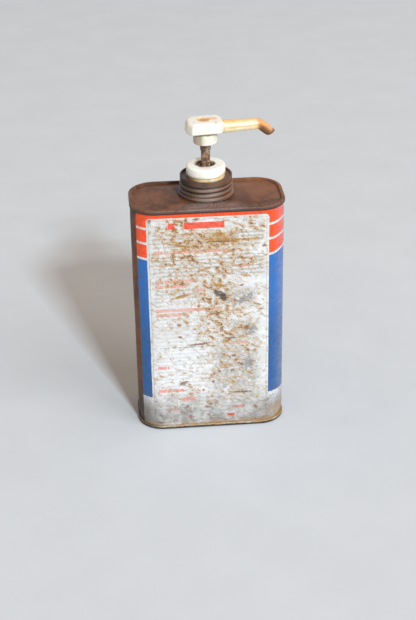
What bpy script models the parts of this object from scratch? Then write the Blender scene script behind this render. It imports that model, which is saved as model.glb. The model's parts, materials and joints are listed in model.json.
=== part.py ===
# Pump oil can: an oblong one-litre tin with a push pump screwed to its neck.
# Lengths are in metres, +Z is up, and the origin is the middle of the base.
# The label faces -Y and the spout points to +X, turned a little away from the label.

import bpy
import bmesh
import math
from mathutils import Vector

# Fits and facets
clearance = 0.0003          # between pieces that seat on each other
overrun = 0.002             # how far a cutter passes the wall that it cuts
round_steps = 32            # sides of a turned piece that shows
barrel_steps = 28
small_round_steps = 24      # sides of a small or hidden turned piece
corner_steps = 7            # facets in each corner of the tin
fillet_steps = 2
full_turn = 2 * math.pi
mm_per_metre = 1000

# The tin, measured over its seams
can_width = 0.117
can_depth = 0.0591
can_height = 0.1893
can_corner = 0.0202
body_sheet = 0.0003
end_sheet = 0.0004
seam_height = 0.00305       # height of the rolled seam's outer leg
seam_leg = 0.00135          # thickness of its outer leg
seam_inner_leg = 0.0005
seam_roof = 0.0006          # metal over the body's edge
seam_round = 0.0003
base_recess = 0.0033        # from the seam's rim to the flat base panel
top_recess = 0.0016         # from the seam's rim to the edge of the top panel
top_rise = 0.0024           # how far the top panel rises from its edge to the neck
top_plateau = 0.0212        # radius of its flat middle
end_round = 0.0006          # where the recess wall turns into the panel
side_seam_width = 0.005
side_seam_rise = 0.00025

# The threaded neck that is clinched into the top
neck_bore = 0.0164          # radius at the mouth and in the clinched collar
neck_relief = 0.0173        # radius of the wider bore behind the thread
neck_height = 0.0086        # from the foot's underside to the mouth
neck_lip = 0.0012
neck_foot = 0.0004
neck_foot_radius = 0.0205
neck_collar_wall = 0.0006
neck_clinch_reach = 0.0014
neck_clinch = 0.0005
neck_thread_rows = 11
neck_thread_margin = 0.0008 # plain stretch at each end of the thread

# The rolled screw cap
cap_crest = 0.0202          # outer radius on the ribs
thread_depth = 0.001
thread_pitch = 0.004
thread_gap = 0.00045        # between the cap's thread and the neck's
first_rib_drop = 0.0067     # from the cap's rim to its first rib, on the label side
cap_groove_drop = 0.0047    # from the rim to the groove under the top band
cap_sheet = 0.0005
cap_band = 0.0196           # outer radius of the smooth top band
cap_recess = 0.0019         # from the rim down to the cap's floor
cap_fold = 0.0012           # width of the folded rim
cap_fold_round = 0.0006
cap_lift = 0.001            # from the tin's top panel to the cap's lower edge
cap_bead = 0.0211           # outer radius of the curled lower edge
cap_bead_height = 0.0017
cap_thread_rows = 15
cap_fade = 0.001            # height over which the thread runs out

# The pump barrel and what sits on it
gasket_thickness = 0.0016
gasket_bore = 0.0102
flange_radius = 0.0181
flange_thickness = 0.002
shoulder_radius = 0.014
shoulder_height = 0.0038
shoulder_round = 0.0006
spigot_wall = 0.0031        # of the barrel's threaded top, inside the nut
barrel_bore = 0.0076
barrel_wall = 0.0018
barrel_length = 0.052       # from the seal's ledge to the barrel's floor
nut_radius = 0.01465
nut_height = 0.0064
nut_roof = 0.0022
nut_hole = 0.0078
nut_round = 0.0007
guide_drop = 0.001          # from the nut's top to the guide's greasy top
guide_well = 0.0051         # depth of the well that takes the stop sleeve
guide_length = 0.007        # from the well's floor to the guide's foot
guide_radius = 0.0082
rod_clearance = 0.0003
seal_thickness = 0.002
seal_ledge = 0.0003         # how far the seal's ledge lies below the seal

# The foot of the barrel
chamber_radius = 0.0031
inlet_ball_radius = 0.0024
inlet_hole = 0.0015
inlet_lift = 0.0015
seat_web = 0.0015
tube_radius = 0.0032
tube_bore = 0.0022
tube_socket = 0.008
socket_wall = 0.0018
foot_taper = 0.004
tube_foot_gap = 0.003       # from the tin's floor to the tube's tip
tube_cut = 0.003            # height of the slanting cut at the tip
cage_thickness = 0.0018
cage_hole = 0.0017
cage_slot = 0.0012
cage_slot_depth = 0.0008

# The rod, its stop and the piston
rod_radius = 0.0034
rod_bore = 0.0016
plunge_gap = 0.0166         # from the nut's top to the head nut's underside
sleeve_radius = 0.004
sleeve_length = 0.0074
rod_flange_radius = 0.0053
rod_flange = 0.0018
rod_notch = 0.001           # cross notch that lets oil past the outlet ball
piston_gap = 0.001          # from the seal's ledge to the piston's hub
piston_running = 0.0003
hub_radius = 0.0053
hub_height = 0.005
piston_height = 0.005
piston_spigot = 0.0042
piston_spigot_height = 0.006
rod_socket = 0.006
outlet_ball_radius = 0.002
outlet_hole = 0.0012
outlet_lift = 0.0012
outlet_chamber = 0.0025
cup_height = 0.0038
cup_wall = 0.0009
cup_web = 0.0012
cup_washer = 0.0013
washer_margin = 0.0003

# The return spring
spring_wire = 0.0006        # radius of the wire
spring_radius = 0.0056
spring_curls = 8
spring_points = 10          # in each curl

# The head
head_turn = math.radians(6)
head_left = 0.015
head_right = 0.0129
head_half_depth = 0.0108
head_height = 0.0083
head_left_flat = 0.010
head_left_run = 0.003
head_right_flat = 0.0125
head_right_run = 0.0026
head_left_round = 0.0013
head_right_round = 0.0035
head_edge = 0.0022
head_spigot = 0.007
head_pocket = 0.0057
head_channel = 0.0017
channel_rise = 0.0031       # from the head's underside to the cross channel
dish_radius = 0.0047
dish_depth = 0.0005
dish_shift = -0.0013        # from the rod's axis to the dish's middle
head_seal_thickness = 0.0017
head_nut_radius = 0.00904
head_nut_height = 0.0092
head_nut_floor = 0.0016
head_nut_round = 0.0007
boss_gap = 0.0004           # between the head nut and the spout's boss

# The spout
spout_level = 0.0018        # from the head's underside to the spout's axis
spout_root = 0.0049         # radius where it meets the head
spout_waist = 0.0041        # radius at the bend
spout_tip = 0.0036
spout_bore = 0.0019
spout_spigot = 0.0032
spout_spigot_length = 0.0024
spout_reach = 0.0404        # from the rod's axis to the bend's corner
spout_bend = 0.006          # radius of the bend
spout_drop = 0.0118         # from the bend's corner to the tip
spout_angle = math.radians(39)
spout_cut = math.radians(22)
spout_steps = 20
spout_bend_steps = 6
spout_round = 0.0004

# Places that follow from the sizes above
top_edge_z = can_height - top_recess
top_panel_z = top_edge_z + top_rise
floor_z = base_recess
neck_base_z = top_panel_z + clearance
neck_mouth_z = neck_base_z + neck_height
gasket_z = neck_mouth_z + clearance
flange_z = gasket_z + gasket_thickness + clearance
flange_top_z = flange_z + flange_thickness
cap_floor_z = flange_top_z + clearance + cap_sheet
cap_rim_z = cap_floor_z + cap_recess
cap_base_z = top_panel_z + cap_lift
thread_crest_z = cap_rim_z - first_rib_drop
cap_groove_z = cap_rim_z - cap_groove_drop
thread_front = -full_turn / 4
neck_crest = cap_crest - cap_sheet - thread_gap
neck_root = neck_crest - thread_depth
shoulder_top_z = flange_top_z + shoulder_height
nut_z = shoulder_top_z + clearance
nut_top_z = nut_z + nut_height
nut_roof_z = nut_top_z - nut_roof
spigot_top_z = nut_roof_z - clearance
guide_bore = rod_radius + rod_clearance
guide_top_z = nut_top_z - guide_drop
well_z = guide_top_z - guide_well
guide_z = well_z - guide_length
seal_z = guide_z - clearance - seal_thickness
ledge_z = seal_z - seal_ledge
socket_radius = guide_radius + clearance
spigot_radius = socket_radius + spigot_wall
barrel_radius = barrel_bore + barrel_wall
barrel_floor_z = ledge_z - barrel_length
cage_z = barrel_floor_z + clearance
cage_top_z = cage_z + cage_thickness
inlet_ball_z = cage_z - inlet_lift - inlet_ball_radius - clearance
inlet_seat_z = inlet_ball_z - clearance - math.sqrt(inlet_ball_radius ** 2 - inlet_hole ** 2)
web_z = inlet_seat_z - seat_web
dip_top_z = web_z - clearance
dip_tip_z = floor_z + tube_foot_gap
head_nut_z = nut_top_z + plunge_gap
head_nut_top_z = head_nut_z + head_nut_height
head_nut_floor_z = head_nut_z + head_nut_floor
rod_flange_z = head_nut_floor_z + clearance
rod_flange_top_z = rod_flange_z + rod_flange
head_seal_z = rod_flange_top_z + clearance
pocket_z = head_seal_z + head_seal_thickness + clearance
head_z = head_nut_top_z + clearance
head_top_z = head_z + head_height
channel_z = head_z + channel_rise
spout_z = head_z + spout_level
sleeve_top_z = rod_flange_z - clearance
hub_top_z = ledge_z - piston_gap
rod_seat_z = hub_top_z - rod_socket
rod_end_z = rod_seat_z + clearance
outlet_ball_z = rod_end_z - outlet_lift - outlet_ball_radius - clearance
outlet_seat_z = outlet_ball_z - clearance - math.sqrt(outlet_ball_radius ** 2 - outlet_hole ** 2)
piston_radius = barrel_bore - piston_running
piston_top_z = hub_top_z - hub_height
piston_z = piston_top_z - piston_height
piston_foot_z = piston_z - piston_spigot_height
washer_z = piston_foot_z + washer_margin
cup_z = washer_z + cup_washer + clearance
cup_top_z = piston_z - clearance
spring_top_z = washer_z - clearance
spring_foot_z = cage_top_z + clearance
boss_start = head_nut_radius + boss_gap
front_wall = seam_leg + clearance                    # from the seam's face to the body's
body_inside = front_wall + body_sheet                # from the seam's face to the body's inner face
seam_width = body_inside + clearance + seam_inner_leg


def clear_scene():
    for item in list(bpy.data.objects):
        bpy.data.objects.remove(item, do_unlink=True)


def finish(name, colour, roughness, metallic):
    material = bpy.data.materials.new(name)
    material.use_nodes = True
    shader = material.node_tree.nodes["Principled BSDF"]
    shader.inputs["Base Color"].default_value = (*colour, 1)
    shader.inputs["Roughness"].default_value = roughness
    shader.inputs["Metallic"].default_value = metallic
    return material


def place(name, mesh, look, carrier=None):
    item = bpy.data.objects.new(name, mesh)
    bpy.context.collection.objects.link(item)
    mesh.materials.append(finish(name, *look))
    item.parent = carrier
    return item


def axis_empty(name, place_at, turn=0, carrier=None):
    empty = bpy.data.objects.new(name, None)
    bpy.context.collection.objects.link(empty)
    empty.location = place_at
    empty.rotation_euler = (0, 0, turn)
    empty.parent = carrier
    return empty


def smooth(item, angle=math.radians(35)):
    item.data.shade_smooth()
    item.data.set_sharp_from_angle(angle=angle)


# A skin through rings of equal length, closed into a loop or capped at both ends
def loft(rings, loop=True):
    form = bmesh.new()
    rows = [[form.verts.new(point) for point in ring] for ring in rings]
    pairs = list(zip(rows, rows[1:]))
    if loop:
        pairs.append((rows[-1], rows[0]))
    else:
        form.faces.new(rows[0])
        form.faces.new(rows[-1])
    for near, far in pairs:
        for i in range(len(near)):
            j = (i + 1) % len(near)
            form.faces.new((near[i], near[j], far[j], far[i]))
    bmesh.ops.recalc_face_normals(form, faces=form.faces)
    mesh = bpy.data.meshes.new("form")
    form.to_mesh(mesh)
    form.free()
    return mesh


def circle(radius, z, steps, centre=(0, 0)):
    turns = [full_turn * i / steps for i in range(steps)]
    return [(centre[0] + radius * math.cos(a), centre[1] + radius * math.sin(a), z) for a in turns]


def turned(profile, steps=round_steps, loop=True, origin_z=0):
    return loft([circle(radius, z - origin_z, steps) for radius, z in profile], loop)


# Replaces one corner of a profile by an arc, written as its tangent points and a middle one
def rounded_corner(before, corner, after, radius, steps=fillet_steps):
    here = Vector(corner)
    into = (Vector(before) - here).normalized()
    out = (Vector(after) - here).normalized()
    half = into.angle(out) / 2
    centre = here + (into + out).normalized() * (radius / math.sin(half))
    start = here + into * (radius / math.tan(half)) - centre
    end = here + out * (radius / math.tan(half)) - centre
    sweep = start.angle_signed(end)
    first = math.atan2(start.y, start.x)
    turns = [first - sweep * k / steps for k in range(steps + 1)]
    return [tuple(centre + Vector((math.cos(a), math.sin(a))) * radius) for a in turns]


# A profile whose points may carry a fillet radius as a third number
def filleted(points, steps=fillet_steps):
    result = []
    for i, point in enumerate(points):
        if len(point) > 2 and point[2] > 0:
            before = points[i - 1][:2]
            after = points[(i + 1) % len(points)][:2]
            result += rounded_corner(before, point[:2], after, point[2], steps)
        else:
            result.append(tuple(point[:2]))
    return result


def cut(item, cutter, operation="DIFFERENCE"):
    cutter.hide_render = True
    cutter.display_type = "WIRE"
    cutter.parent = item.parent
    modifier = item.modifiers.new(cutter.name, "BOOLEAN")
    modifier.operation = operation
    modifier.solver = "EXACT"
    modifier.object = cutter


# The tin's outline, drawn in from the seam's face by an inset
def oblong(inset, z, bulge=0):
    half_width = can_width / 2 - inset
    half_depth = can_depth / 2 - inset
    radius = can_corner - inset
    corners = ((1, 1, 0), (-1, 1, 1), (-1, -1, 2), (1, -1, 3))
    ring = []
    for side_x, side_y, quarter in corners:
        centre = (side_x * (half_width - radius), side_y * (half_depth - radius))
        for k in range(corner_steps + 1):
            a = (quarter + k / corner_steps) * full_turn / 4
            ring.append((centre[0] + radius * math.cos(a), centre[1] + radius * math.sin(a), z))
        if quarter == 1:
            half_seam = side_seam_width / 2
            ring += [(-half_width, half_seam + side_seam_rise, z), (-half_width - bulge, half_seam, z)]
            ring += [(-half_width - bulge, -half_seam, z), (-half_width, -half_seam - side_seam_rise, z)]
    return ring




def can_body(carrier):
    low = seam_roof + clearance
    high = can_height - low
    seam_low = seam_height + clearance
    seam_high = can_height - seam_low
    step = side_seam_rise
    rings = [oblong(front_wall, low), oblong(front_wall, seam_low)]
    rings += [oblong(front_wall, seam_low + step, side_seam_rise)]
    rings += [oblong(front_wall, seam_high - step, side_seam_rise)]
    rings += [oblong(front_wall, seam_high), oblong(front_wall, high)]
    rings += [oblong(body_inside, high), oblong(body_inside, low)]
    item = place("can_body", loft(rings), ((0.55, 0.55, 0.56), 0.4, 0.3), carrier)
    smooth(item)


# The seam and recess in section: inset from the seam's face, and depth below its rim
def seam_section(recess):
    outer = [(0, seam_height - seam_round), (0, seam_round * 2), (seam_round * 2, 0)]
    inner_face = seam_width
    rim = [(inner_face - seam_round, 0), (inner_face, seam_round)]
    foot = [(inner_face, recess - end_round), (inner_face + end_round, recess)]
    return outer + rim + foot


def seam_underside(recess):
    inner_leg = body_inside + clearance
    underside = recess + end_sheet
    return [(seam_width + end_round, underside), (inner_leg, underside - end_round),
            (inner_leg, seam_roof), (seam_leg, seam_roof), (seam_leg, seam_height),
            (seam_round, seam_height)]


def top_panel(carrier):
    hole = neck_bore + neck_collar_wall + clearance
    rings = [oblong(inset, can_height - depth) for inset, depth in seam_section(top_recess)]
    steps = len(rings[0])
    rings += [circle(radius, top_panel_z, steps) for radius in (top_plateau, hole)]
    rings += [circle(radius, top_panel_z - end_sheet, steps) for radius in (hole, top_plateau)]
    rings += [oblong(inset, can_height - depth) for inset, depth in seam_underside(top_recess)]
    item = place("top_panel", loft(rings), ((0.23, 0.13, 0.09), 0.75, 0.4), carrier)
    smooth(item)


def bottom_panel(carrier):
    outer = [oblong(inset, depth) for inset, depth in seam_section(base_recess)]
    inner = [oblong(inset, depth) for inset, depth in seam_underside(base_recess)]
    rings = list(reversed(outer)) + list(reversed(inner))
    item = place("bottom_panel", loft(rings, loop=False), ((0.2, 0.13, 0.1), 0.75, 0.4), carrier)
    smooth(item)


def smooth_share(value, start, end):
    share = min(max((value - start) / (end - start), 0), 1)
    return share * share * (3 - 2 * share)


# The thread's wave: 0 on a rib and 1 in a groove, rising to the right as it goes round
def groove_share(z, angle):
    turns = (z - thread_crest_z) / thread_pitch - (angle - thread_front) / full_turn
    return (1 - math.cos(full_turn * turns)) / 2


def wavy_ring(radius_at, z):
    ring = []
    for i in range(round_steps):
        a = full_turn * i / round_steps
        radius = radius_at(z, a)
        ring.append((radius * math.cos(a), radius * math.sin(a), z))
    return ring


def neck_radius(z, angle):
    start = neck_base_z + neck_foot
    end = neck_mouth_z
    share = smooth_share(z, start + neck_thread_margin, start + neck_thread_margin + thread_pitch / 4)
    share *= 1 - smooth_share(z, end - neck_thread_margin - thread_pitch / 4, end - neck_thread_margin)
    return neck_root + thread_depth * (1 - groove_share(z, angle)) * share


def can_neck(carrier):
    thread_low = neck_base_z + neck_foot + neck_thread_margin
    thread_high = neck_mouth_z - neck_thread_margin
    step = (thread_high - thread_low) / (neck_thread_rows - 1)
    collar = neck_bore + neck_collar_wall
    clinch_top = top_panel_z - end_sheet - clearance
    clinch_low = clinch_top - neck_clinch
    foot_top = neck_base_z + neck_foot
    low = [(neck_bore, clinch_low), (collar + neck_clinch_reach, clinch_low),
           (collar + neck_clinch_reach, clinch_top), (collar, clinch_top), (collar, neck_base_z),
           (neck_foot_radius, neck_base_z), (neck_foot_radius, foot_top), (neck_root, foot_top)]
    high = [(neck_root, neck_mouth_z), (neck_bore, neck_mouth_z), (neck_bore, neck_mouth_z - neck_lip),
            (neck_relief, neck_mouth_z - neck_lip * 2), (neck_relief, foot_top + neck_lip),
            (neck_bore, foot_top)]
    rings = [circle(radius, z, round_steps) for radius, z in low]
    rings += [wavy_ring(neck_radius, thread_low + step * k) for k in range(neck_thread_rows)]
    rings += [circle(radius, z, round_steps) for radius, z in high]
    item = place("can_neck", loft(rings), ((0.3, 0.25, 0.22), 0.5, 0.8), carrier)
    smooth(item)


def cap_radius(z, angle):
    start = cap_base_z + cap_bead_height
    ribbed = smooth_share(z, start, start + cap_fade)
    ended = smooth_share(z, cap_groove_z - cap_fade, cap_groove_z)
    radius = cap_crest - thread_depth * groove_share(z, angle) * ribbed
    return radius * (1 - ended) + (cap_crest - thread_depth) * ended


def cap_inner_radius(z, angle):
    return cap_radius(z, angle) - cap_sheet


# Tinplate screw cap with a rolled right-hand thread, a curled foot and a recessed, holed top
def screw_cap(carrier, centre_z):
    thread_low = cap_base_z + cap_bead_height
    step = (cap_groove_z - thread_low) / (cap_thread_rows - 1)
    rows = [thread_low + step * k for k in range(cap_thread_rows)]
    inner = cap_crest - cap_sheet
    bead_mid = cap_base_z + cap_bead_height / 2
    bead_quarter = cap_bead_height / 4
    band_low = cap_groove_z + cap_fold_round
    wall = cap_band - cap_fold
    hole = shoulder_radius + clearance
    hidden_floor = cap_floor_z - cap_sheet
    roof = cap_rim_z - cap_sheet
    bead = [(inner, cap_base_z + bead_quarter / 2), (inner + bead_quarter, cap_base_z),
            (cap_bead - bead_quarter, cap_base_z), (cap_bead, bead_mid - bead_quarter / 2),
            (cap_bead, bead_mid + bead_quarter / 2), (cap_bead - bead_quarter, thread_low - bead_quarter / 3)]
    top = [(cap_band, band_low), (cap_band, cap_rim_z - cap_fold_round),
           (cap_band - cap_fold_round / 3, cap_rim_z - cap_fold_round / 3),
           (cap_band - cap_fold_round, cap_rim_z), (wall, cap_rim_z - cap_fold_round / 3),
           (wall, cap_floor_z), (hole, cap_floor_z), (hole, hidden_floor),
           (wall + cap_sheet / 2, hidden_floor), (wall + cap_sheet / 2, roof),
           (cap_band - cap_sheet, roof), (cap_band - cap_sheet, band_low)]
    rings = [circle(radius, z, round_steps) for radius, z in bead]
    rings += [wavy_ring(cap_radius, z) for z in rows]
    rings += [circle(radius, z, round_steps) for radius, z in top]
    rings += [wavy_ring(cap_inner_radius, z) for z in reversed(rows)]
    moved = [[(x, y, z - centre_z) for x, y, z in ring] for ring in rings]
    item = place("screw_cap", loft(moved), ((0.22, 0.13, 0.09), 0.7, 0.4), carrier)
    smooth(item)


def pump_barrel(carrier):
    top = spigot_top_z
    outer = [(spigot_radius, top), (spigot_radius, shoulder_top_z),
             (shoulder_radius, shoulder_top_z, shoulder_round), (shoulder_radius, flange_top_z),
             (flange_radius, flange_top_z), (flange_radius, flange_z), (barrel_radius, flange_z)]
    socket = tube_radius + clearance
    boss = socket + socket_wall
    taper_low = barrel_floor_z - foot_taper
    outer += [(barrel_radius, barrel_floor_z), (boss, taper_low), (boss, web_z - tube_socket)]
    inner = [(socket, web_z - tube_socket), (socket, web_z), (inlet_hole, web_z),
             (inlet_hole, inlet_seat_z), (chamber_radius, inlet_seat_z), (chamber_radius, barrel_floor_z),
             (barrel_bore, barrel_floor_z), (barrel_bore, ledge_z), (socket_radius, ledge_z),
             (socket_radius, top)]
    item = place("pump_barrel", turned(filleted(outer + inner), barrel_steps), ((0.75, 0.66, 0.42), 0.45, 0), carrier)
    smooth(item)


def flange_gasket(carrier):
    low, high = gasket_z, gasket_z + gasket_thickness
    profile = [(gasket_bore, low), (flange_radius, low), (flange_radius, high), (gasket_bore, high)]
    smooth(place("flange_gasket", turned(profile, barrel_steps), ((0.08, 0.07, 0.06), 0.8, 0), carrier))


def gland_nut(carrier):
    inner = spigot_radius + clearance
    profile = [(nut_radius, nut_z, nut_round), (nut_radius, nut_top_z, nut_round),
               (nut_hole, nut_top_z, nut_round), (nut_hole, nut_roof_z), (inner, nut_roof_z), (inner, nut_z)]
    smooth(place("gland_nut", turned(filleted(profile)), ((0.86, 0.85, 0.8), 0.4, 0), carrier))


# Bush round the rod; its top fills the nut's hole, and a well in it takes the stop sleeve
def rod_guide(carrier):
    collar = nut_hole - clearance
    well = sleeve_radius + clearance
    profile = [(guide_bore, guide_z), (guide_radius, guide_z), (guide_radius, spigot_top_z),
               (collar, spigot_top_z), (collar, guide_top_z), (well, guide_top_z), (well, well_z),
               (guide_bore, well_z)]
    smooth(place("rod_guide", turned(profile, small_round_steps), ((0.6, 0.55, 0.45), 0.5, 0), carrier))


def rod_seal(carrier):
    high = seal_z + seal_thickness
    profile = [(guide_bore, seal_z), (guide_radius, seal_z), (guide_radius, high), (guide_bore, high)]
    smooth(place("rod_seal", turned(profile, small_round_steps), ((0.06, 0.06, 0.06), 0.8, 0), carrier))


# Spring seat over the inlet ball, notched underneath so that oil flows round the ball
def ball_cage(carrier):
    radius = barrel_bore - clearance
    profile = [(cage_hole, cage_z), (radius, cage_z), (radius, cage_top_z), (cage_hole, cage_top_z)]
    item = place("ball_cage", turned(profile, small_round_steps), ((0.7, 0.7, 0.66), 0.5, 0), carrier)
    smooth(item)
    notch_height = cage_slot_depth + overrun
    size = (chamber_radius * 2, cage_slot, notch_height)
    cut(item, box("cage_notch", size, (0, 0, cage_z + cage_slot_depth - notch_height / 2)))


def box(name, size, centre):
    form = bmesh.new()
    bmesh.ops.create_cube(form, size=1)
    bmesh.ops.scale(form, vec=size, verts=form.verts)
    mesh = bpy.data.meshes.new(name)
    form.to_mesh(mesh)
    form.free()
    item = bpy.data.objects.new(name, mesh)
    bpy.context.collection.objects.link(item)
    item.location = centre
    return item


def ball(name, radius, z, carrier, carrier_z=0):
    form = bmesh.new()
    bmesh.ops.create_icosphere(form, subdivisions=2, radius=radius)
    mesh = bpy.data.meshes.new(name)
    form.to_mesh(mesh)
    form.free()
    item = place(name, mesh, ((0.6, 0.6, 0.6), 0.2, 1), carrier)
    item.location = (0, 0, z - carrier_z)
    smooth(item, math.radians(60))


# Suction tube with a slanting cut at its foot
def dip_tube(carrier):
    def tip(radius):
        ring = []
        for x, y, z in circle(radius, dip_tip_z, small_round_steps):
            ring.append((x, y, z + tube_cut * (x + tube_radius) / (2 * tube_radius)))
        return ring
    rings = [circle(tube_radius, dip_top_z, small_round_steps), tip(tube_radius), tip(tube_bore)]
    rings.append(circle(tube_bore, dip_top_z, small_round_steps))
    smooth(place("dip_tube", loft(rings), ((0.8, 0.78, 0.7), 0.4, 0), carrier))


def pump_rod(carrier):
    stub_z = pocket_z - clearance
    profile = [(rod_bore, rod_end_z), (rod_radius, rod_end_z), (rod_radius, rod_flange_z),
               (rod_flange_radius, rod_flange_z), (rod_flange_radius, rod_flange_top_z),
               (rod_radius, rod_flange_top_z), (rod_radius, stub_z), (rod_bore, stub_z)]
    item = place("pump_rod", turned(profile, small_round_steps), ((0.08, 0.07, 0.06), 0.35, 0.3), carrier)
    smooth(item)
    notch_height = rod_notch + overrun
    size = (outlet_chamber * 2, rod_notch, notch_height)
    cut(item, box("rod_end_notch", size, (0, 0, rod_end_z + rod_notch - notch_height / 2)))


def stop_sleeve(carrier):
    low = sleeve_top_z - sleeve_length
    inner = rod_radius + rod_clearance
    profile = [(inner, low), (sleeve_radius, low), (sleeve_radius, sleeve_top_z), (inner, sleeve_top_z)]
    smooth(place("stop_sleeve", turned(profile, small_round_steps), ((0.1, 0.08, 0.07), 0.5, 0), carrier))


def piston(carrier):
    socket = rod_radius + clearance
    profile = [(outlet_hole, piston_foot_z), (piston_spigot, piston_foot_z), (piston_spigot, piston_z),
               (piston_radius, piston_z), (piston_radius, piston_top_z), (hub_radius, piston_top_z),
               (hub_radius, hub_top_z), (socket, hub_top_z), (socket, rod_seat_z),
               (outlet_chamber, rod_seat_z), (outlet_chamber, outlet_seat_z), (outlet_hole, outlet_seat_z)]
    smooth(place("piston", turned(profile, small_round_steps), ((0.8, 0.78, 0.72), 0.45, 0), carrier))


# Soft cup whose lip points down and wipes the bore
def piston_cup(carrier):
    inner = piston_spigot + clearance
    lip_inner = piston_radius - cup_wall
    web_low = cup_top_z - cup_web
    profile = [(inner, cup_z + clearance), (inner, cup_top_z), (piston_radius - cup_wall, cup_top_z),
               (piston_radius, cup_top_z - cup_wall), (piston_radius, cup_z), (lip_inner + cup_wall / 2, cup_z),
               (lip_inner, web_low), (inner + cup_wall, web_low), (inner + cup_wall, cup_z + clearance)]
    smooth(place("piston_cup", turned(profile, small_round_steps), ((0.1, 0.1, 0.1), 0.8, 0), carrier))


def cup_washer_ring(carrier):
    inner = piston_spigot + clearance
    outer = piston_radius - cup_wall
    top = washer_z + cup_washer
    profile = [(inner, washer_z), (outer, washer_z), (outer, top), (inner, top)]
    smooth(place("cup_washer", turned(profile, small_round_steps), ((0.6, 0.6, 0.6), 0.3, 1), carrier))


# One unbroken helix; both ends sit between the piston's washer and the ball cage
def return_spring(carrier):
    count = spring_curls * spring_points
    low = spring_foot_z + spring_wire
    rise = spring_top_z - spring_foot_z - spring_wire * 2
    points = []
    for i in range(count + 1):
        a = full_turn * i / spring_points
        height = low + rise * i / count
        points.append(Vector((spring_radius * math.cos(a), spring_radius * math.sin(a), height)))
    curve = bpy.data.curves.new("return_spring", "CURVE")
    curve.dimensions = "3D"
    curve.bevel_depth = spring_wire
    curve.bevel_resolution = 1
    curve.use_fill_caps = True
    line = curve.splines.new("POLY")
    line.points.add(count)
    for spline_point, point in zip(line.points, points):
        spline_point.co = (*point, 1)
    gaps = []
    for i, point in enumerate(points):
        gaps += [(point - other).length for other in points[i + spring_points // 2:]]
    print("return_spring least gap to itself, mm:", round((min(gaps) - spring_wire * 2) * mm_per_metre, 2))
    place("return_spring", curve, ((0.5, 0.5, 0.5), 0.3, 1), carrier)


def head_seal(carrier, centre_z):
    inner = rod_radius + clearance
    outer = head_pocket - clearance
    high = head_seal_z + head_seal_thickness
    profile = [(inner, head_seal_z), (outer, head_seal_z), (outer, high), (inner, high)]
    mesh = turned(profile, small_round_steps, origin_z=centre_z)
    smooth(place("head_seal", mesh, ((0.07, 0.07, 0.07), 0.8, 0), carrier))


def head_nut(carrier, centre_z):
    inner = head_spigot + clearance
    hole = sleeve_radius + clearance
    profile = [(hole, head_nut_z), (head_nut_radius, head_nut_z, head_nut_round),
               (head_nut_radius, head_nut_top_z), (inner, head_nut_top_z), (inner, head_nut_floor_z),
               (hole, head_nut_floor_z)]
    mesh = turned(filleted(profile), origin_z=centre_z)
    smooth(place("head_nut", mesh, ((0.84, 0.82, 0.76), 0.45, 0), carrier))


def rod_along_x(name, radius, start, end, z):
    rings = []
    for x in (start, end):
        rings.append([(x, y, z + height) for height, y, _ in circle(radius, 0, small_round_steps)])
    item = bpy.data.objects.new(name, loft(rings, loop=False))
    bpy.context.collection.objects.link(item)
    return item


def rod_along_z(name, radius, low, high, steps=small_round_steps):
    item = bpy.data.objects.new(name, turned([(radius, low), (radius, high)], steps, loop=False))
    bpy.context.collection.objects.link(item)
    return item


# Eight-sided block with a spigot for the head nut and a boss for the spout
def pump_head(carrier, centre_z):
    corners = []
    for side in (-1, 1):
        left = [(-head_left, side * head_left_flat / 2, head_left_round),
                (-head_left + head_left_run, side * head_half_depth, head_left_round)]
        right = [(head_right - head_right_run, side * head_half_depth, head_right_round / 2),
                 (head_right, side * head_right_flat / 2, head_right_round)]
        corners += left + right if side < 0 else list(reversed(left + right))
    outline = filleted(corners, fillet_steps * 2)
    low = head_z - centre_z
    high = head_top_z - centre_z

    def drawn_in(inset, z):
        wide = 1 - inset / head_left
        deep = 1 - inset / head_half_depth
        return [(x * wide, y * deep, z) for x, y in outline]

    edge = head_edge
    rings = [drawn_in(edge / 3, low), drawn_in(0, low + edge / 3), drawn_in(0, high - edge)]
    for k in range(1, fillet_steps + 2):
        a = full_turn / 4 * k / (fillet_steps + 1)
        rings.append(drawn_in(edge * (1 - math.cos(a)), high - edge * (1 - math.sin(a))))
    item = place("pump_head", loft(rings, loop=False), ((0.88, 0.87, 0.82), 0.4, 0), carrier)
    spigot_low = rod_flange_z - centre_z
    axis = spout_z - centre_z
    channel = channel_z - centre_z
    ceiling = pocket_z - centre_z
    socket = spout_spigot + clearance
    socket_start = head_right - spout_spigot_length - clearance
    inside = low + head_edge
    cut(item, rod_along_z("spigot_form", head_spigot, spigot_low, inside, round_steps), "UNION")
    cut(item, rod_along_x("boss_form", spout_root, boss_start, head_right, axis), "UNION")
    cut(item, rod_along_z("pocket_cutter", head_pocket, spigot_low - overrun, ceiling))
    cut(item, rod_along_z("riser_cutter", head_channel, ceiling - overrun, channel))
    cut(item, rod_along_x("socket_cutter", socket, socket_start, head_right + overrun, axis))
    cut(item, rod_along_x("channel_cutter", head_channel, -head_channel, socket_start + overrun, channel))
    dish = rod_along_z("dish_cutter", dish_radius, high - dish_depth, high + overrun)
    dish.location = (dish_shift, 0, 0)
    cut(item, dish)
    smooth(item)


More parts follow.
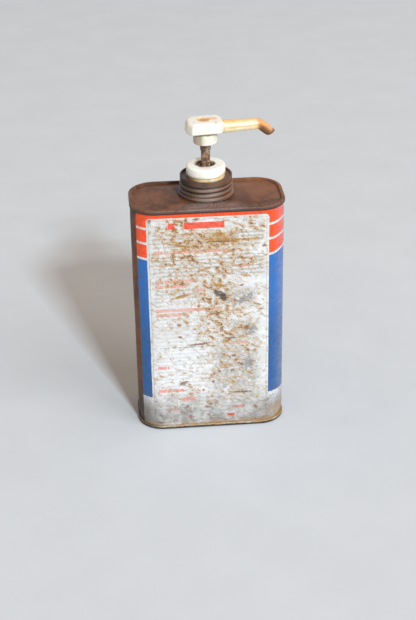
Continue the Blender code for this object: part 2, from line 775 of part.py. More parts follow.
# Bent, tapering tube with a cut tip; its spigot plugs into the head's boss
def spout(carrier, centre_z):
    level = spout_z - centre_z
    corner = Vector((spout_reach, 0, level))
    down = Vector((math.cos(spout_angle), 0, -math.sin(spout_angle)))
    tangent_reach = spout_bend * math.tan(spout_angle / 2)
    start = head_right + clearance
    bend_centre = Vector((spout_reach - tangent_reach, 0, level - spout_bend))
    stations = [(Vector((start, 0, level)), 0, spout_root)]
    for k in range(spout_bend_steps + 1):
        a = spout_angle * k / spout_bend_steps
        point = bend_centre + Vector((math.sin(a), 0, math.cos(a))) * spout_bend
        radius = spout_waist + (spout_tip - spout_waist) * k / (spout_bend_steps * 2)
        stations.append((point, a, radius))
    tip = corner + down * spout_drop
    stations.append((tip, spout_angle + spout_cut, spout_tip))

    def ring_at(point, lean, radius):
        side = Vector((0, 1, 0))
        up = Vector((math.sin(lean), 0, math.cos(lean)))
        turns = [full_turn * i / spout_steps for i in range(spout_steps)]
        return [point + side * (radius * math.cos(a)) + up * (radius * math.sin(a)) for a in turns]

    spigot_end = start - spout_spigot_length
    outer = [ring_at(Vector((spigot_end, 0, level)), 0, spout_spigot)]
    outer.append(ring_at(Vector((start, 0, level)), 0, spout_spigot))
    outer += [ring_at(*station) for station in stations[:-1]]
    lip_back = tip - down * spout_round
    outer.append(ring_at(lip_back, spout_angle + spout_cut, spout_tip))
    outer.append(ring_at(tip, spout_angle + spout_cut, spout_tip - spout_round))
    inner = [ring_at(point, lean, spout_bore) for point, lean, _ in reversed(stations)]
    inner.append(ring_at(Vector((spigot_end, 0, level)), 0, spout_bore))
    item = place("spout", loft(outer + inner), ((0.8, 0.52, 0.2), 0.35, 0), carrier)
    smooth(item)


def main():
    clear_scene()
    tin = axis_empty("tin_axis", (0, 0, 0))
    pump = axis_empty("pump_axis", (0, 0, 0), 0, tin)
    cap = axis_empty("cap_axis", (0, 0, cap_floor_z), 0, pump)
    plunger = axis_empty("plunger_axis", (0, 0, 0), 0, pump)
    head = axis_empty("head_axis", (0, 0, head_z), head_turn, plunger)

    can_body(tin)
    top_panel(tin)
    bottom_panel(tin)
    can_neck(tin)

    pump_barrel(pump)
    flange_gasket(pump)
    gland_nut(pump)
    rod_guide(pump)
    rod_seal(pump)
    ball_cage(pump)
    dip_tube(pump)
    return_spring(pump)
    ball("inlet_ball", inlet_ball_radius, inlet_ball_z, pump)

    screw_cap(cap, cap_floor_z)

    pump_rod(plunger)
    stop_sleeve(plunger)
    piston(plunger)
    piston_cup(plunger)
    cup_washer_ring(plunger)
    ball("outlet_ball", outlet_ball_radius, outlet_ball_z, plunger)

    pump_head(head, head_z)
    head_nut(head, head_z)
    head_seal(head, head_z)
    spout(head, head_z)


main()
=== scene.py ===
import bpy
import bmesh
import json
import math
from mathutils import Matrix, Vector, noise

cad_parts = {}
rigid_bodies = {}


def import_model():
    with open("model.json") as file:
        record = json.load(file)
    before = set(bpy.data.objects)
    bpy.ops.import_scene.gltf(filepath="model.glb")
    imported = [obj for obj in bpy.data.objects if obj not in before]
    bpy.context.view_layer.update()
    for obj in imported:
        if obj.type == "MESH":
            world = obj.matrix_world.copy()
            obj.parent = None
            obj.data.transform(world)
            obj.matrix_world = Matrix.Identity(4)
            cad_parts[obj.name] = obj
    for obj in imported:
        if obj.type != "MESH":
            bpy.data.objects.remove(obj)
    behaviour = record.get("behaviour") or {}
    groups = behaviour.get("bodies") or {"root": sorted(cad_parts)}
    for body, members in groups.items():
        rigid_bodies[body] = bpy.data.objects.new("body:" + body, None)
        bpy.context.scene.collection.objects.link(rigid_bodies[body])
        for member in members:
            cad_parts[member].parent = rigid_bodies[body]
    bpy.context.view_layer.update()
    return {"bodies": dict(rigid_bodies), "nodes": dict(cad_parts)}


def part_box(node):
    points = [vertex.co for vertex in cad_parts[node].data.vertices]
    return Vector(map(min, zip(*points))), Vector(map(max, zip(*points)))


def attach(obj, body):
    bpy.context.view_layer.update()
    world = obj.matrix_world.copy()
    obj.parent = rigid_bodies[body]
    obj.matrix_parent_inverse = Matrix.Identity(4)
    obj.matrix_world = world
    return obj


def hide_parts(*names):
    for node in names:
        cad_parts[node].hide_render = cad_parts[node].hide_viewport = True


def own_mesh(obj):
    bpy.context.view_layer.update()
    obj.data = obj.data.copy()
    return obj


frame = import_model()

mm = 0.001
fullTurn = 2 * math.pi


# Shared mesh helpers

def lengths(**values):  # settings given in mm
    return {name: value * mm for name, value in values.items()}


def newItem(name, data):
    item = bpy.data.objects.new(name, data)
    bpy.context.collection.objects.link(item)
    return item


def newMesh(name, form):
    mesh = bpy.data.meshes.new(name)
    form.to_mesh(mesh)
    form.free()
    return newItem(name, mesh)


def skin(name, rings, loop=True):
    form = bmesh.new()
    rows = [[form.verts.new(point) for point in ring] for ring in rings]
    pairs = list(zip(rows, rows[1:]))
    if loop:
        pairs.append((rows[-1], rows[0]))
    else:
        form.faces.new(rows[0])
        form.faces.new(rows[-1])
    for near, far in pairs:
        for i in range(len(near)):
            j = (i + 1) % len(near)
            form.faces.new((near[i], near[j], far[j], far[i]))
    bmesh.ops.recalc_face_normals(form, faces=form.faces)
    return newMesh(name, form)


def circle(radius, z, steps):
    return [(radius * math.cos(fullTurn * i / steps), radius * math.sin(fullTurn * i / steps), z)
            for i in range(steps)]


def roundCorner(before, corner, after, radius, steps):
    here = Vector(corner)
    into = (Vector(before) - here).normalized()
    out = (Vector(after) - here).normalized()
    half = into.angle(out) / 2
    centre = here + (into + out).normalized() * (radius / math.sin(half))
    start = here + into * (radius / math.tan(half)) - centre
    end = here + out * (radius / math.tan(half)) - centre
    sweep = start.angle_signed(end)
    first = math.atan2(start.y, start.x)
    turns = [first - sweep * k / steps for k in range(steps + 1)]
    return [tuple(centre + Vector((math.cos(a), math.sin(a))) * radius) for a in turns]


def filleted(points, steps=4):  # a third number on a point is its fillet radius
    result = []
    for i, point in enumerate(points):
        if len(point) > 2 and point[2] > 0:
            after = points[(i + 1) % len(points)][:2]
            result += roundCorner(points[i - 1][:2], point[:2], after, point[2], steps)
        else:
            result.append(tuple(point[:2]))
    return result


def turned(name, profile, steps=96, loop=True):
    return skin(name, [circle(radius, z, steps) for radius, z in profile], loop)


def easeShare(value, start, end):
    share = min(max((value - start) / (end - start), 0), 1)
    return share * share * (3 - 2 * share)


def seat(item, paint, body, replaced=(), sharp=40):  # shading, finish and place in the frame
    item.data.shade_smooth()
    item.data.set_sharp_from_angle(angle=math.radians(sharp))
    item.data.materials.clear()
    item.data.materials.append(paint)
    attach(item, body)
    if replaced:
        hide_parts(*replaced)
    return item


def topOf(node):
    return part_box(node)[1].z


def footOf(node):
    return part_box(node)[0].z


def radiusOf(node):
    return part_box(node)[1].x


# Shared material helpers

def tone(red, green, blue):  # screen values from 0 to 255
    return tuple((c / 255 / 12.92) if c < 11 else ((c / 255 + 0.055) / 1.055) ** 2.4 for c in (red, green, blue))


class Graph:
    def __init__(self, tree):
        self.tree = tree

    def feed(self, socket, value):  # a colour of three numbers is in screen values
        if isinstance(value, bpy.types.NodeSocket):
            self.tree.links.new(value, socket)
        elif isinstance(value, tuple) and len(value) == 3 and socket.type == "RGBA":
            socket.default_value = (*tone(*value), 1)
        else:
            socket.default_value = value

    def node(self, kind, sockets=(), **settings):  # sockets in their order, or by name or number
        made = self.tree.nodes.new(kind)
        for key, value in settings.items():
            setattr(made, key, value)
        for key, value in sockets.items() if isinstance(sockets, dict) else enumerate(sockets):
            self.feed(made.inputs[key], value)
        return made

    def math(self, operation, *values):
        return self.node("ShaderNodeMath", values, operation=operation).outputs[0]

    def fold(self, operation, values):
        total = values[0]
        for value in values[1:]:
            total = self.math(operation, total, value)
        return total

    def add(self, *values):
        return self.fold("ADD", values)

    def times(self, *values):
        return self.fold("MULTIPLY", values)

    def most(self, values):
        return self.fold("MAXIMUM", values)

    def minus(self, first, second):
        return self.math("SUBTRACT", first, second)

    def abs(self, value):
        return self.math("ABSOLUTE", value)


class Paint(Graph):
    def __init__(self, name, roughness=0.5, **sockets):
        self.material = bpy.data.materials.new(name)
        self.material.use_nodes = True
        super().__init__(self.material.node_tree)
        self.shader = self.tree.nodes["Principled BSDF"]
        self.rough(roughness)
        for socket, value in sockets.items():
            self.feed(self.shader.inputs[socket.replace("_", " ")], value)
        self.place = self.node("ShaderNodeTexCoord").outputs["Object"]

    def squares(self, *sides):
        return self.add(*[self.math("POWER", side, 2) for side in sides])

    def length(self, *sides):
        return self.math("SQRT", self.squares(*sides))

    def swing(self, value, reach):  # a noise value turned into a shift to both sides
        return self.times(self.minus(value, 0.5), reach)

    def step(self, value, low, high, start=0, end=1):
        sockets = (value, low, high, start, end)
        return self.node("ShaderNodeMapRange", sockets, interpolation_type="SMOOTHSTEP").outputs[0]

    def fall(self, value, low, high, start=1):
        return self.step(value, low, high, start, 0)

    def mix(self, share, first, second):
        return self.node("ShaderNodeMix", {0: share, 6: first, 7: second}, data_type="RGBA").outputs[2]

    def lay(self, share, colour):  # one more coat over what is there
        self.coat = self.mix(share, self.coat, colour)

    def stretch(self, scale, turn=0):  # spots lengthened along axes turned by so many degrees about y
        sockets = {"Vector": self.place, "Scale": scale, "Rotation": (0, math.radians(turn), 0)}
        return self.node("ShaderNodeMapping", sockets, vector_type="TEXTURE").outputs[0]

    def noise(self, size, detail=3, roughness=0.55, place=None, warp=0):  # size of a spot in mm
        sockets = {"Vector": self.place if place is None else place, "Scale": 1 / (size * mm),
                   "Detail": detail, "Roughness": roughness, "Distortion": warp}
        return self.node("ShaderNodeTexNoise", sockets).outputs[0]

    def split(self):  # the place in mm
        made = self.node("ShaderNodeSeparateXYZ", [self.place])
        return [self.times(made.outputs[i], 1 / mm) for i in range(3)]

    def join(self, x, y, z=0):
        return self.node("ShaderNodeCombineXYZ", (x, y, z)).outputs[0]

    def rough(self, value):
        self.feed(self.shader.inputs["Roughness"], value)

    def bump(self, height, depth=0.05, strength=1):  # depth in mm
        made = self.node("ShaderNodeBump", {"Distance": depth * mm, "Strength": strength, "Height": height})
        self.feed(self.shader.inputs["Normal"], made.outputs[0])

    def done(self):
        self.feed(self.shader.inputs["Base Color"], self.coat)
        return self.material


print("frame loaded, bodies:", ", ".join(frame["bodies"]))


# Camera, light and floor

cameraSettings = {
    "place": (-0.0703, -0.9023, 0.56886),
    "yaw": -0.0777,
    "pitch": 0.4865,
    "roll": -0.01645,
    "lens": 75.38,
    "sensor": 36,
}


def makeCamera(s):
    a, e, roll = s["yaw"], s["pitch"], s["roll"]
    back = Vector((math.sin(a) * math.cos(e), -math.cos(a) * math.cos(e), math.sin(e)))
    right = Vector((math.cos(a), math.sin(a), 0))
    up = back.cross(right)
    turnedRight = right * math.cos(roll) + up * math.sin(roll)
    turnedUp = up * math.cos(roll) - right * math.sin(roll)
    data = bpy.data.cameras.new("photoCamera")
    data.lens = s["lens"]
    data.sensor_width = s["sensor"]
    camera = newItem("photoCamera", data)
    turn = Matrix((turnedRight, turnedUp, back)).transposed()
    camera.matrix_world = Matrix.Translation(s["place"]) @ turn.to_4x4()
    bpy.context.scene.camera = camera


lightSettings = {
    "sky": (1.0, 0.80, 0.62),
    "skyStrength": 0.45,
    "aim": (0, 0, 0.12),
    "floor": (212, 218, 227),
    "floorShade": 3,
    "floorSize": 12.0,
    "lamps": {  # place, size, power and colour
        "keySoftbox": ((5.28, -16.90, 11.69), 2.42, 3760.0, (0.83, 0.945, 1.0)),
        "windowSoftbox": ((2.58, -2.16, 2.94), 2.4, 60.0, (1.0, 0.97, 0.93)),
    },
}


def makeLamp(name, place, size, power, colour, aim):
    data = bpy.data.lights.new(name, "AREA")
    data.energy = power
    data.size = size
    data.color = colour
    lamp = newItem(name, data)
    lamp.location = place
    lamp.rotation_euler = (Vector(aim) - Vector(place)).to_track_quat("-Z", "Y").to_euler()


def makeWorld(s):  # the sky lights the scene, and the camera and reflections see the floor's colour
    world = bpy.data.worlds.new("softSky")
    bpy.context.scene.world = world
    world.use_nodes = True
    graph = Graph(world.node_tree)
    sky = graph.tree.nodes["Background"]
    graph.feed(sky.inputs["Color"], (*s["sky"], 1))
    graph.feed(sky.inputs["Strength"], s["skyStrength"])
    seen = graph.node("ShaderNodeBackground", {"Color": s["floor"], "Strength": 1})
    path = graph.node("ShaderNodeLightPath").outputs
    rays = graph.most([path[ray] for ray in ("Is Camera Ray", "Is Glossy Ray", "Is Transmission Ray")])
    choose = graph.node("ShaderNodeMixShader", (rays, sky.outputs[0], seen.outputs[0]))
    graph.feed(graph.tree.nodes["World Output"].inputs["Surface"], choose.outputs[0])


def makeFloor(s):
    form = bmesh.new()
    bmesh.ops.create_grid(form, x_segments=1, y_segments=1, size=s["floorSize"] / 2)
    floor = newMesh("paleFloor", form)
    p = Paint("paleFloorCloth", roughness=0.9, Specular_IOR_Level=0.1)
    shade = tuple(c - s["floorShade"] for c in s["floor"])
    p.coat = p.mix(p.step(p.noise(60, 2), 0.3, 0.7), shade, s["floor"])
    floor.data.materials.append(p.done())


bpy.context.scene.view_settings.view_transform = "Standard"
makeCamera(cameraSettings)
makeWorld(lightSettings)
for lampName, lamp in lightSettings["lamps"].items():
    makeLamp(lampName, *lamp, lightSettings["aim"])
makeFloor(lightSettings)
print("camera, lamps and floor made")


# Tin body, its label and its two ends

tinLow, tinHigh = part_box("top_panel")
tin = {
    "width": tinHigh.x - tinLow.x,
    "depth": tinHigh.y - tinLow.y,
    "cornerSteps": 22,
    "longSteps": 22,
    "shortSteps": 5,
    "bodyRows": 44,
    "panelRings": 6,
    "dentEase": (14 * mm, 16 * mm),  # from the foot seam and the head seam
    "swellEase": (6 * mm, 9 * mm),
    **lengths(height=189.3, cornerRadius=20.2, bodyInset=1.65, sheet=0.3, endSheet=0.4, gap=0.3,
              seamHeight=3.05, seamLeg=1.35, seamInner=2.85, seamRoof=0.6, shoulderRound=1.05, panelRound=0.6,
              panelStart=1.2, baseRecess=3.3, topRecess=1.6, topRise=2.4, topPlateau=21.2, basePlateau=6,
              holeRadius=17.3, dent=0.28, dentSize=34, endSwell=0.95, headEase=3, sideSeamHalf=2.4,
              sideSeamRise=0.22, panelWave=0.22, waveSize=26, inward=12, smoothFrom=20, legEdge=0.25,
              legDrop=0.35, rimRound=0.55, wallLean=0.1, hookIn=0.5, fadeBeyond=1),
}


def tinOutline(inset, z, s=tin):  # even steps round the oblong, drawn in from the seam's face
    halfWide = s["width"] / 2 - inset
    halfDeep = s["depth"] / 2 - inset
    radius = s["cornerRadius"] - inset
    ring = []
    corners = ((1, 1, 0), (-1, 1, 1), (-1, -1, 2), (1, -1, 3))
    for sideX, sideY, quarter in corners:
        cx, cy = sideX * (halfWide - radius), sideY * (halfDeep - radius)
        for k in range(s["cornerSteps"] + 1):
            a = (quarter + k / s["cornerSteps"]) * fullTurn / 4
            ring.append(Vector((cx + radius * math.cos(a), cy + radius * math.sin(a), z)))
        nextX, nextY, _ = corners[(quarter + 1) % 4]
        steps = s["longSteps"] if quarter in (0, 2) else s["shortSteps"]
        a = (quarter + 1) * fullTurn / 4
        start = ring[-1]
        end = Vector((nextX * (halfWide - radius) + radius * math.cos(a),
                      nextY * (halfDeep - radius) + radius * math.sin(a), z))
        ring += [start.lerp(end, k / steps) for k in range(1, steps)]
    return ring


def makeTinBody(s, paint):
    low = s["seamRoof"] + s["gap"]
    high = s["height"] - low
    fade = s["seamHeight"] + s["fadeBeyond"]
    flat = s["width"] / 2 - s["cornerRadius"]
    rings = []
    for row in range(s["bodyRows"] + 1):
        z = low + (high - low) * row / s["bodyRows"]
        away, swelled = [easeShare(z, fade, fade + rise) * (1 - easeShare(z, high - fall, high - s["headEase"]))
                         for rise, fall in (s["dentEase"], s["swellEase"])]
        ring = tinOutline(s["bodyInset"], z)
        for point, centre in zip(ring, tinOutline(s["bodyInset"] + s["inward"], z)):
            inward = (centre - point).normalized()
            wave = noise.noise(Vector((point.x, point.y * 2, point.z)) / s["dentSize"])
            point += inward * (s["dent"] * away * (0.5 + wave))
            bulge = s["endSwell"] * swelled * easeShare(abs(point.x), flat, s["width"] / 2)
            point.x += math.copysign(bulge, point.x)
            if point.x < 0 and abs(point.y) < s["sideSeamHalf"]:
                point.x -= s["sideSeamRise"] * away
        rings.append(ring)
    inner = s["bodyInset"] + s["sheet"]
    smooth = inner + s["dent"]
    rings += [tinOutline(inner, high), tinOutline(smooth, high - s["smoothFrom"])]
    rings += [tinOutline(smooth, low + s["smoothFrom"]), tinOutline(inner, low)]
    seat(skin("tinBody", rings), paint, "can", ["can_body"], sharp=50)


def seamSection(s, recess):  # inset from the seam's face, and depth below its rim
    leg = s["seamHeight"]
    outer = [(s["seamLeg"], leg), (s["legEdge"], leg), (0, leg - s["legDrop"])]
    rim = [(0, 0, s["shoulderRound"]), (s["seamInner"], 0, s["rimRound"])]
    wall = s["seamInner"] + s["wallLean"]
    foot = [(wall, recess, s["panelRound"]), (s["seamInner"] + s["panelStart"], recess)]
    return filleted(outer + rim + foot, 6)[1:]


def seamUnderside(s, recess):
    hook = s["seamInner"] - s["hookIn"]
    floor = recess + s["endSheet"]
    panelRound = s["panelRound"]
    return [(s["seamInner"] + s["panelStart"], floor), (hook + panelRound, floor), (hook, floor - panelRound),
            (hook, s["seamRoof"]), (s["seamLeg"], s["seamRoof"]), (s["seamLeg"], s["seamHeight"])]


def makeTinEnd(name, atTop, s=tin):
    recess = s["topRecess"] if atTop else s["baseRecess"]
    rise = s["topRise"] if atTop else 0

    def height(depth):
        return s["height"] - depth if atTop else depth

    outer = [tinOutline(inset, height(depth)) for inset, depth in seamSection(s, recess)]
    inner = [tinOutline(inset, height(depth)) for inset, depth in seamUnderside(s, recess)]
    plateau = s["topPlateau"] if atTop else s["basePlateau"]
    panel = []
    for k in range(1, s["panelRings"] + 1):
        share = k / s["panelRings"]
        lift = rise * (share + easeShare(share, 0, 1)) / 2
        ring = []
        for edge in outer[-1]:
            a = math.atan2(edge.y, edge.x)
            middle = Vector((plateau * math.cos(a), plateau * math.sin(a), edge.z))
            point = edge.lerp(middle, share)
            wave = noise.noise(point / s["waveSize"]) * math.sin(math.pi * share) * s["panelWave"]
            ring.append(point + Vector((0, 0, lift + wave)))
        panel.append(ring)
    sheet = Vector((0, 0, -s["endSheet"] if atTop else s["endSheet"]))
    if atTop:
        reach = s["holeRadius"] / plateau
        panel.append([Vector((p.x * reach, p.y * reach, p.z)) for p in panel[-1]])
    back = [[point + sheet for point in ring] for ring in reversed(panel)]
    if atTop:
        return skin(name, outer + panel + back + inner)
    return skin(name, list(reversed(outer + panel)) + list(reversed(back + inner)), loop=False)


# Rust over tin: a dark brown coat with redder and paler patches

def rustPaint(name, dark, middle, pale, roughness=0.55, spots=9, gloss=0.5):
    p = Paint(name, roughness=roughness, Specular_IOR_Level=gloss)
    broad = p.noise(spots * 2.2, 5, 0.62, warp=0.4)
    fine = p.noise(spots / 7, 5, 0.7)
    p.coat = p.mix(p.step(broad, 0.38, 0.60), dark, middle)
    p.lay(p.step(fine, 0.54, 0.70, 0, 0.7), pale)
    grime = p.step(p.noise(spots / 2.5, 5, 0.68), 0.54, 0.68, 0, 0.7)
    p.lay(grime, (*[c * 0.4 for c in tone(*dark)], 1))
    p.rough(p.step(fine, 0.3, 0.75, roughness - 0.14, roughness + 0.18))
    p.bump(p.add(fine, broad), 0.14, 0.7)
    return p


def topPaint(s=tin):
    p = rustPaint("rustedTop", (86, 55, 41), (121, 77, 52), (156, 104, 71), 0.46, 5, 0.2)
    x, y, z = p.split()
    rim = s["height"] / mm
    beyond = []
    for place, half in ((x, s["width"] / 2), (y, s["depth"] / 2)):
        flat = (half - s["cornerRadius"]) / mm
        beyond.append(p.math("MAXIMUM", p.minus(p.abs(place), flat), 0))
    inset = p.minus(s["cornerRadius"] / mm, p.length(*beyond))
    away = p.length(x, y)
    ragged = p.add(away, p.swing(p.noise(9, 5, 0.65), 22))
    p.lay(p.fall(ragged, 18, 34, 0.4), (52, 35, 28))  # darker in a ragged ring round the cap's foot
    # painted light: the panel lighter towards the right and the back
    paintedLight = p.times(p.step(x, -10, 40), p.step(y, -24, 14, 0, 0.4))
    p.lay(paintedLight, (156, 102, 68))
    # painted sheen: greyer in front of the cap
    paintedSheen = p.times(p.fall(p.abs(p.minus(x, 2)), 14, 32, 0.75), p.fall(y, -22, -15),
                     p.step(p.noise(2.2, 5, 0.7), 0.36, 0.6, 0.3, 1))
    p.lay(paintedSheen, (134, 115, 113))
    nearSeam = p.fall(inset, 0.5, 1.3)
    shoulder = p.times(p.step(z, rim - 0.9, rim - 0.4), nearSeam)
    # painted highlight along the seam's shoulder, with some wear
    wearAndHighlight = p.times(shoulder, p.step(p.noise(4, 4, 0.65), 0.36, 0.6, 0, 0.36))
    face = p.times(p.fall(z, rim - 1.3, rim - 0.6, 0.8), nearSeam)
    p.lay(face, (84, 74, 73))
    p.lay(wearAndHighlight, (130, 122, 120))
    # painted shade along the seam's lower edge
    under = p.times(p.fall(z, rim - 2.7, rim - 1.9, 0.9), nearSeam)
    p.lay(under, (36, 28, 26))
    return p.done()


def basePaint():  # stained tan where the print runs over the seam, dark round its foot, partly as painted contact shadow
    p = rustPaint("rustedBase", (40, 37, 36), (66, 56, 50), (104, 82, 62), 0.6, 6)
    x, _, z = p.split()
    ragged = p.add(z, p.swing(p.noise(3, 4), 2.4))
    upper = p.times(p.step(ragged, 1.7, 2.5), p.step(x, -50, -36, 0.15, 0.85))
    stain = p.mix(p.step(p.noise(7, 5, 0.65), 0.4, 0.6), (188, 172, 148), (176, 134, 88))
    p.lay(upper, stain)
    return p.done()


# Print on the tin, laid out in mm along the outline from the front's middle, and up

class LabelPaint(Paint):
    def __init__(self, name, body=tin, **settings):
        super().__init__(name, **settings)
        x, y, self.up = self.split()
        radius = (body["cornerRadius"] - body["bodyInset"]) / mm
        flatX = (body["width"] / 2 - body["cornerRadius"]) / mm
        flatY = (body["depth"] / 2 - body["cornerRadius"]) / mm
        absX, absY = self.abs(x), self.abs(y)
        overX = self.math("MAXIMUM", self.minus(absX, flatX), 0)
        overY = self.math("MAXIMUM", self.minus(absY, flatY), 0.001)
        arc = self.times(self.math("ARCTAN2", overX, overY), radius)
        end = self.math("MAXIMUM", self.minus(flatY, absY), 0)
        reach = self.add(self.math("MINIMUM", absX, flatX), arc, end)
        self.along = self.times(reach, self.math("SIGN", x))
        self.facing = self.times(self.math("SIGN", y), -1)
        self.reading = self.times(self.along, self.facing)  # reads left to right on both faces
        self.front = self.step(self.facing, -0.1, 0.1)

    def within(self, value, low, high, soft=0.12):
        return self.times(self.step(value, low - soft, low + soft),
                         self.fall(value, high - soft, high + soft))

    def block(self, area, soft=0.12, across=None):
        left, right, low, high = area
        across = self.reading if across is None else across
        return self.times(self.within(across, left, right, soft), self.within(self.up, low, high, soft))

    def cloud(self, across, up, halfWidth, halfHeight):  # 0 in its middle, 1 at its edge
        ds = self.math("DIVIDE", self.minus(self.along, across), halfWidth)
        dz = self.math("DIVIDE", self.minus(self.up, up), halfHeight)
        return self.squares(ds, dz)


printSettings = {
    "bare": -56.6,                     # where the print stops short of the side seam
    "panel": (-47.4, 44.7, 4.2, 182.6),
    "panelRadius": 3.6,
    "lines": (174, 162, 149.3),
    "lineHalf": 0.95,
    "blueFoot": 28.1,
    "wander": 0.5,
    "turn": (47, 60),                  # the corner at the right, where the stripes climb and the print is paler: fading print with a painted sheen
    "lift": 1.5,
    "fadeAndSheen": (160, 160, 186),
    "red": (255, 83, 26),
    "blue": (29, 94, 159),
    "blueHigh": (34, 108, 187),
    "white": (232, 233, 236),
    "hairline": (134, 134, 124),
}


def printGround(p, s):  # it leaves the distance outside the panel's edge
    wander = p.swing(p.noise(2.2, 3), s["wander"])
    up, along = p.add(p.up, wander), p.add(p.along, wander)
    lift = p.times(p.step(p.along, *s["turn"], 0, s["lift"]), p.step(p.up, 150, 165, 1.6, 1))
    barUp = p.minus(up, p.times(lift, p.step(p.up, 100, 140)))
    mottle = p.step(p.noise(5, 5, 0.65), 0.34, 0.68)
    white, red, blue = [p.mix(mottle, s[key], tuple(c * share for c in s[key]))
                        for key, share in (("white", 0.95), ("red", 0.92), ("blue", 0.88))]
    blue = p.mix(p.step(p.up, 70, 125, 0, 0.85), blue, s["blueHigh"])
    p.coat = p.mix(p.step(barUp, s["lines"][2] - 0.15, s["lines"][2] + 0.15), blue, red)
    p.coat = p.mix(p.step(up, s["blueFoot"] - 0.15, s["blueFoot"] + 0.15), white, p.coat)
    stripes = [p.within(barUp, line - s["lineHalf"], line + s["lineHalf"]) for line in s["lines"]]
    p.lay(p.times(p.most(stripes), p.step(p.noise(2.5, 4, 0.7), 0.34, 0.5, 0.55, 0.95)), white)
    # paler at the right corner: fading print with a painted sheen over it
    fadeAndSheen = p.step(p.noise(7, 4, place=p.stretch((1, 1, 0.4))), 0.3, 0.7, 0.4, 1)
    fadeAndSheen = p.times(p.step(p.along, *s["turn"], 0, 0.42), fadeAndSheen)
    p.lay(fadeAndSheen, s["fadeAndSheen"])

    # White panel with round corners and a hairline inside its edge
    left, right, low, high = s["panel"]
    corner = s["panelRadius"]
    awayS = p.abs(p.minus(along, (left + right) / 2))
    awayZ = p.abs(p.minus(up, (low + high) / 2))
    awayS = p.minus(awayS, (right - left) / 2 - corner)
    awayZ = p.minus(awayZ, (high - low) / 2 - corner)
    beyond = [p.math("MAXIMUM", away, 0) for away in (awayS, awayZ)]
    outside = p.minus(p.length(*beyond), corner)
    outside = p.add(outside, p.math("MINIMUM", p.math("MAXIMUM", awayS, awayZ), 0))
    p.lay(p.fall(outside, -0.12, 0.12), white)
    hairline = p.times(p.within(outside, -2, -1.5, 0.12), 0.6)
    p.lay(hairline, s["hairline"])
    return outside


rowSettings = {
    "pitch": 3.22,
    "inkFrom": 0.27,
    "inkTo": 0.73,
    "ink": (96, 96, 101),
    "rowPlaces": [(0, 1.41), (33, 0.03), (54, 0.01), (72, 1.35), (105, 0.70), (128, 2.99), (154, 1.46)],
    "areas": [(-43, 41, 133, 151), (-43, -5, 111, 124), (-43, -2, 72, 99), (-43, 0, 57, 71),
              (-43, 2, 37, 53), (-43, 20, 13, 31), (3, 17, 71, 99), (3, 41, 18, 45), (-43, 40, 158, 171)],
    "strips": [(-42, 14, 155), (-42, -10, 130.5), (-42, -18, 126.4), (-42, 9, 106), (-42, -17, 102),
               (20, 30, 141.7), (18, 28, 75.3), (-42, -33, 55.7), (-42, -22, 34.6), (-24, -13, 26),
               (-36, -27, 17), (16, 26, 17), (-11, -4, 122.4)],
    "stripHalf": 1.35,
    "stripRed": (234, 94, 78),
    "patches": [(10, 34, 108, 123), (14, 34, 77, 94), (2, 36, 32, 71)],
    "patchGrey": (150, 148, 147),
}


def smallPrint(p, s):  # plain ruled rows, broken into short dashes
    place = p.add(p.up, s["pitch"] / 2 - s["rowPlaces"][0][1])
    for (above, after), (_, before) in zip(s["rowPlaces"][1:], s["rowPlaces"]):
        place = p.add(place, p.times(p.math("GREATER_THAN", p.up, above), before - after))
    rows = p.math("DIVIDE", place, s["pitch"])
    row = p.math("FLOOR", rows)
    inRow = p.within(p.math("FRACT", rows), s["inkFrom"], s["inkTo"], 0.12)
    rowPlace = p.times(row, 7.3 * mm)
    dashes = p.noise(1.5, 2, place=p.join(p.times(p.reading, 0.45 * mm), rowPlace, p.facing))
    dashes = p.step(dashes, 0.36, 0.43)
    grains = p.step(p.noise(0.7, 2), 0.35, 0.6, 0.55, 1)
    ragged = p.swing(p.noise(1, 0, place=p.join(0, p.times(row, 3.7 * mm))), 14)
    ragged = p.add(p.reading, p.times(ragged, p.step(p.reading, -20, 10)))
    areas = p.most([p.block(area, 0.3, ragged) for area in s["areas"]])
    wearAndHighlight = p.step(p.noise(9, 4), 0.34, 0.6, 0.42, 0.64)
    upper, lower = p.step(p.up, 96, 134, 0.36, 1.2), p.step(p.up, 33, 38, 1.3, 1)
    ink = p.times(areas, inRow, dashes, grains, wearAndHighlight, upper, lower)
    p.lay(ink, s["ink"])

    # Plain worn red strips
    half = s["stripHalf"]
    strips = p.most([p.block((left, right, up - half, up + half), 0.3) for left, right, up in s["strips"]])
    broken = p.noise(2, 2, place=p.join(p.times(p.reading, 0.5 * mm), 0, p.facing))
    strips = p.times(strips, p.step(broken, 0.36, 0.44))
    strips = p.times(strips, p.step(p.noise(1.2, 3), 0.34, 0.6, 0.5, 0.85))
    p.lay(strips, s["stripRed"])

    # Grey worn places
    smudge = p.step(p.noise(3.4, 5, 0.7), 0.36, 0.58)
    wearAndHighlight = p.most([p.block(area, 4) for area in s["patches"]])
    p.lay(p.times(wearAndHighlight, smudge, 0.85), s["patchGrey"])


rustSettings = {
    "slant": 22,
    "long": 1.5,
    "size": 2.6,
    "grain": 0.7,
    "fineSize": 1.15,
    "fine": (160, 126, 92),
    "clouds": [(-24, 174, 18, 10, 0.13), (24, 176, 22, 8, 0.09), (-8, 163, 34, 11, 0.13),
               (-22, 150, 22, 9, 0.12), (14, 150, 30, 16, 0.10), (-12, 130, 32, 14, 0.10),
               (3, 118, 17, 20, 0.13), (12, 106, 26, 12, 0.12), (10, 88, 26, 16, 0.10),
               (18, 72, 22, 12, 0.11), (14, 55, 24, 20, 0.07), (-24, 96, 18, 10, 0.05),
               (-20, 32, 26, 8, 0.05), (12, 28, 34, 8, 0.05)],
    "coats": [(0.50, 0.62, 0.42, (226, 206, 178)), (0.59, 0.67, 0.68, (206, 160, 102)),
              (0.65, 0.715, 0.76, (164, 114, 60)), (0.695, 0.76, 0.80, (90, 66, 48))],
    "outsideLess": 0.17,
    "ochreCloud": (4, 163, 44, 10),
    "ochre": (186, 150, 92),
    "clean": (-22, 54, 30, 32),
    "wash": (196, 193, 189),
}


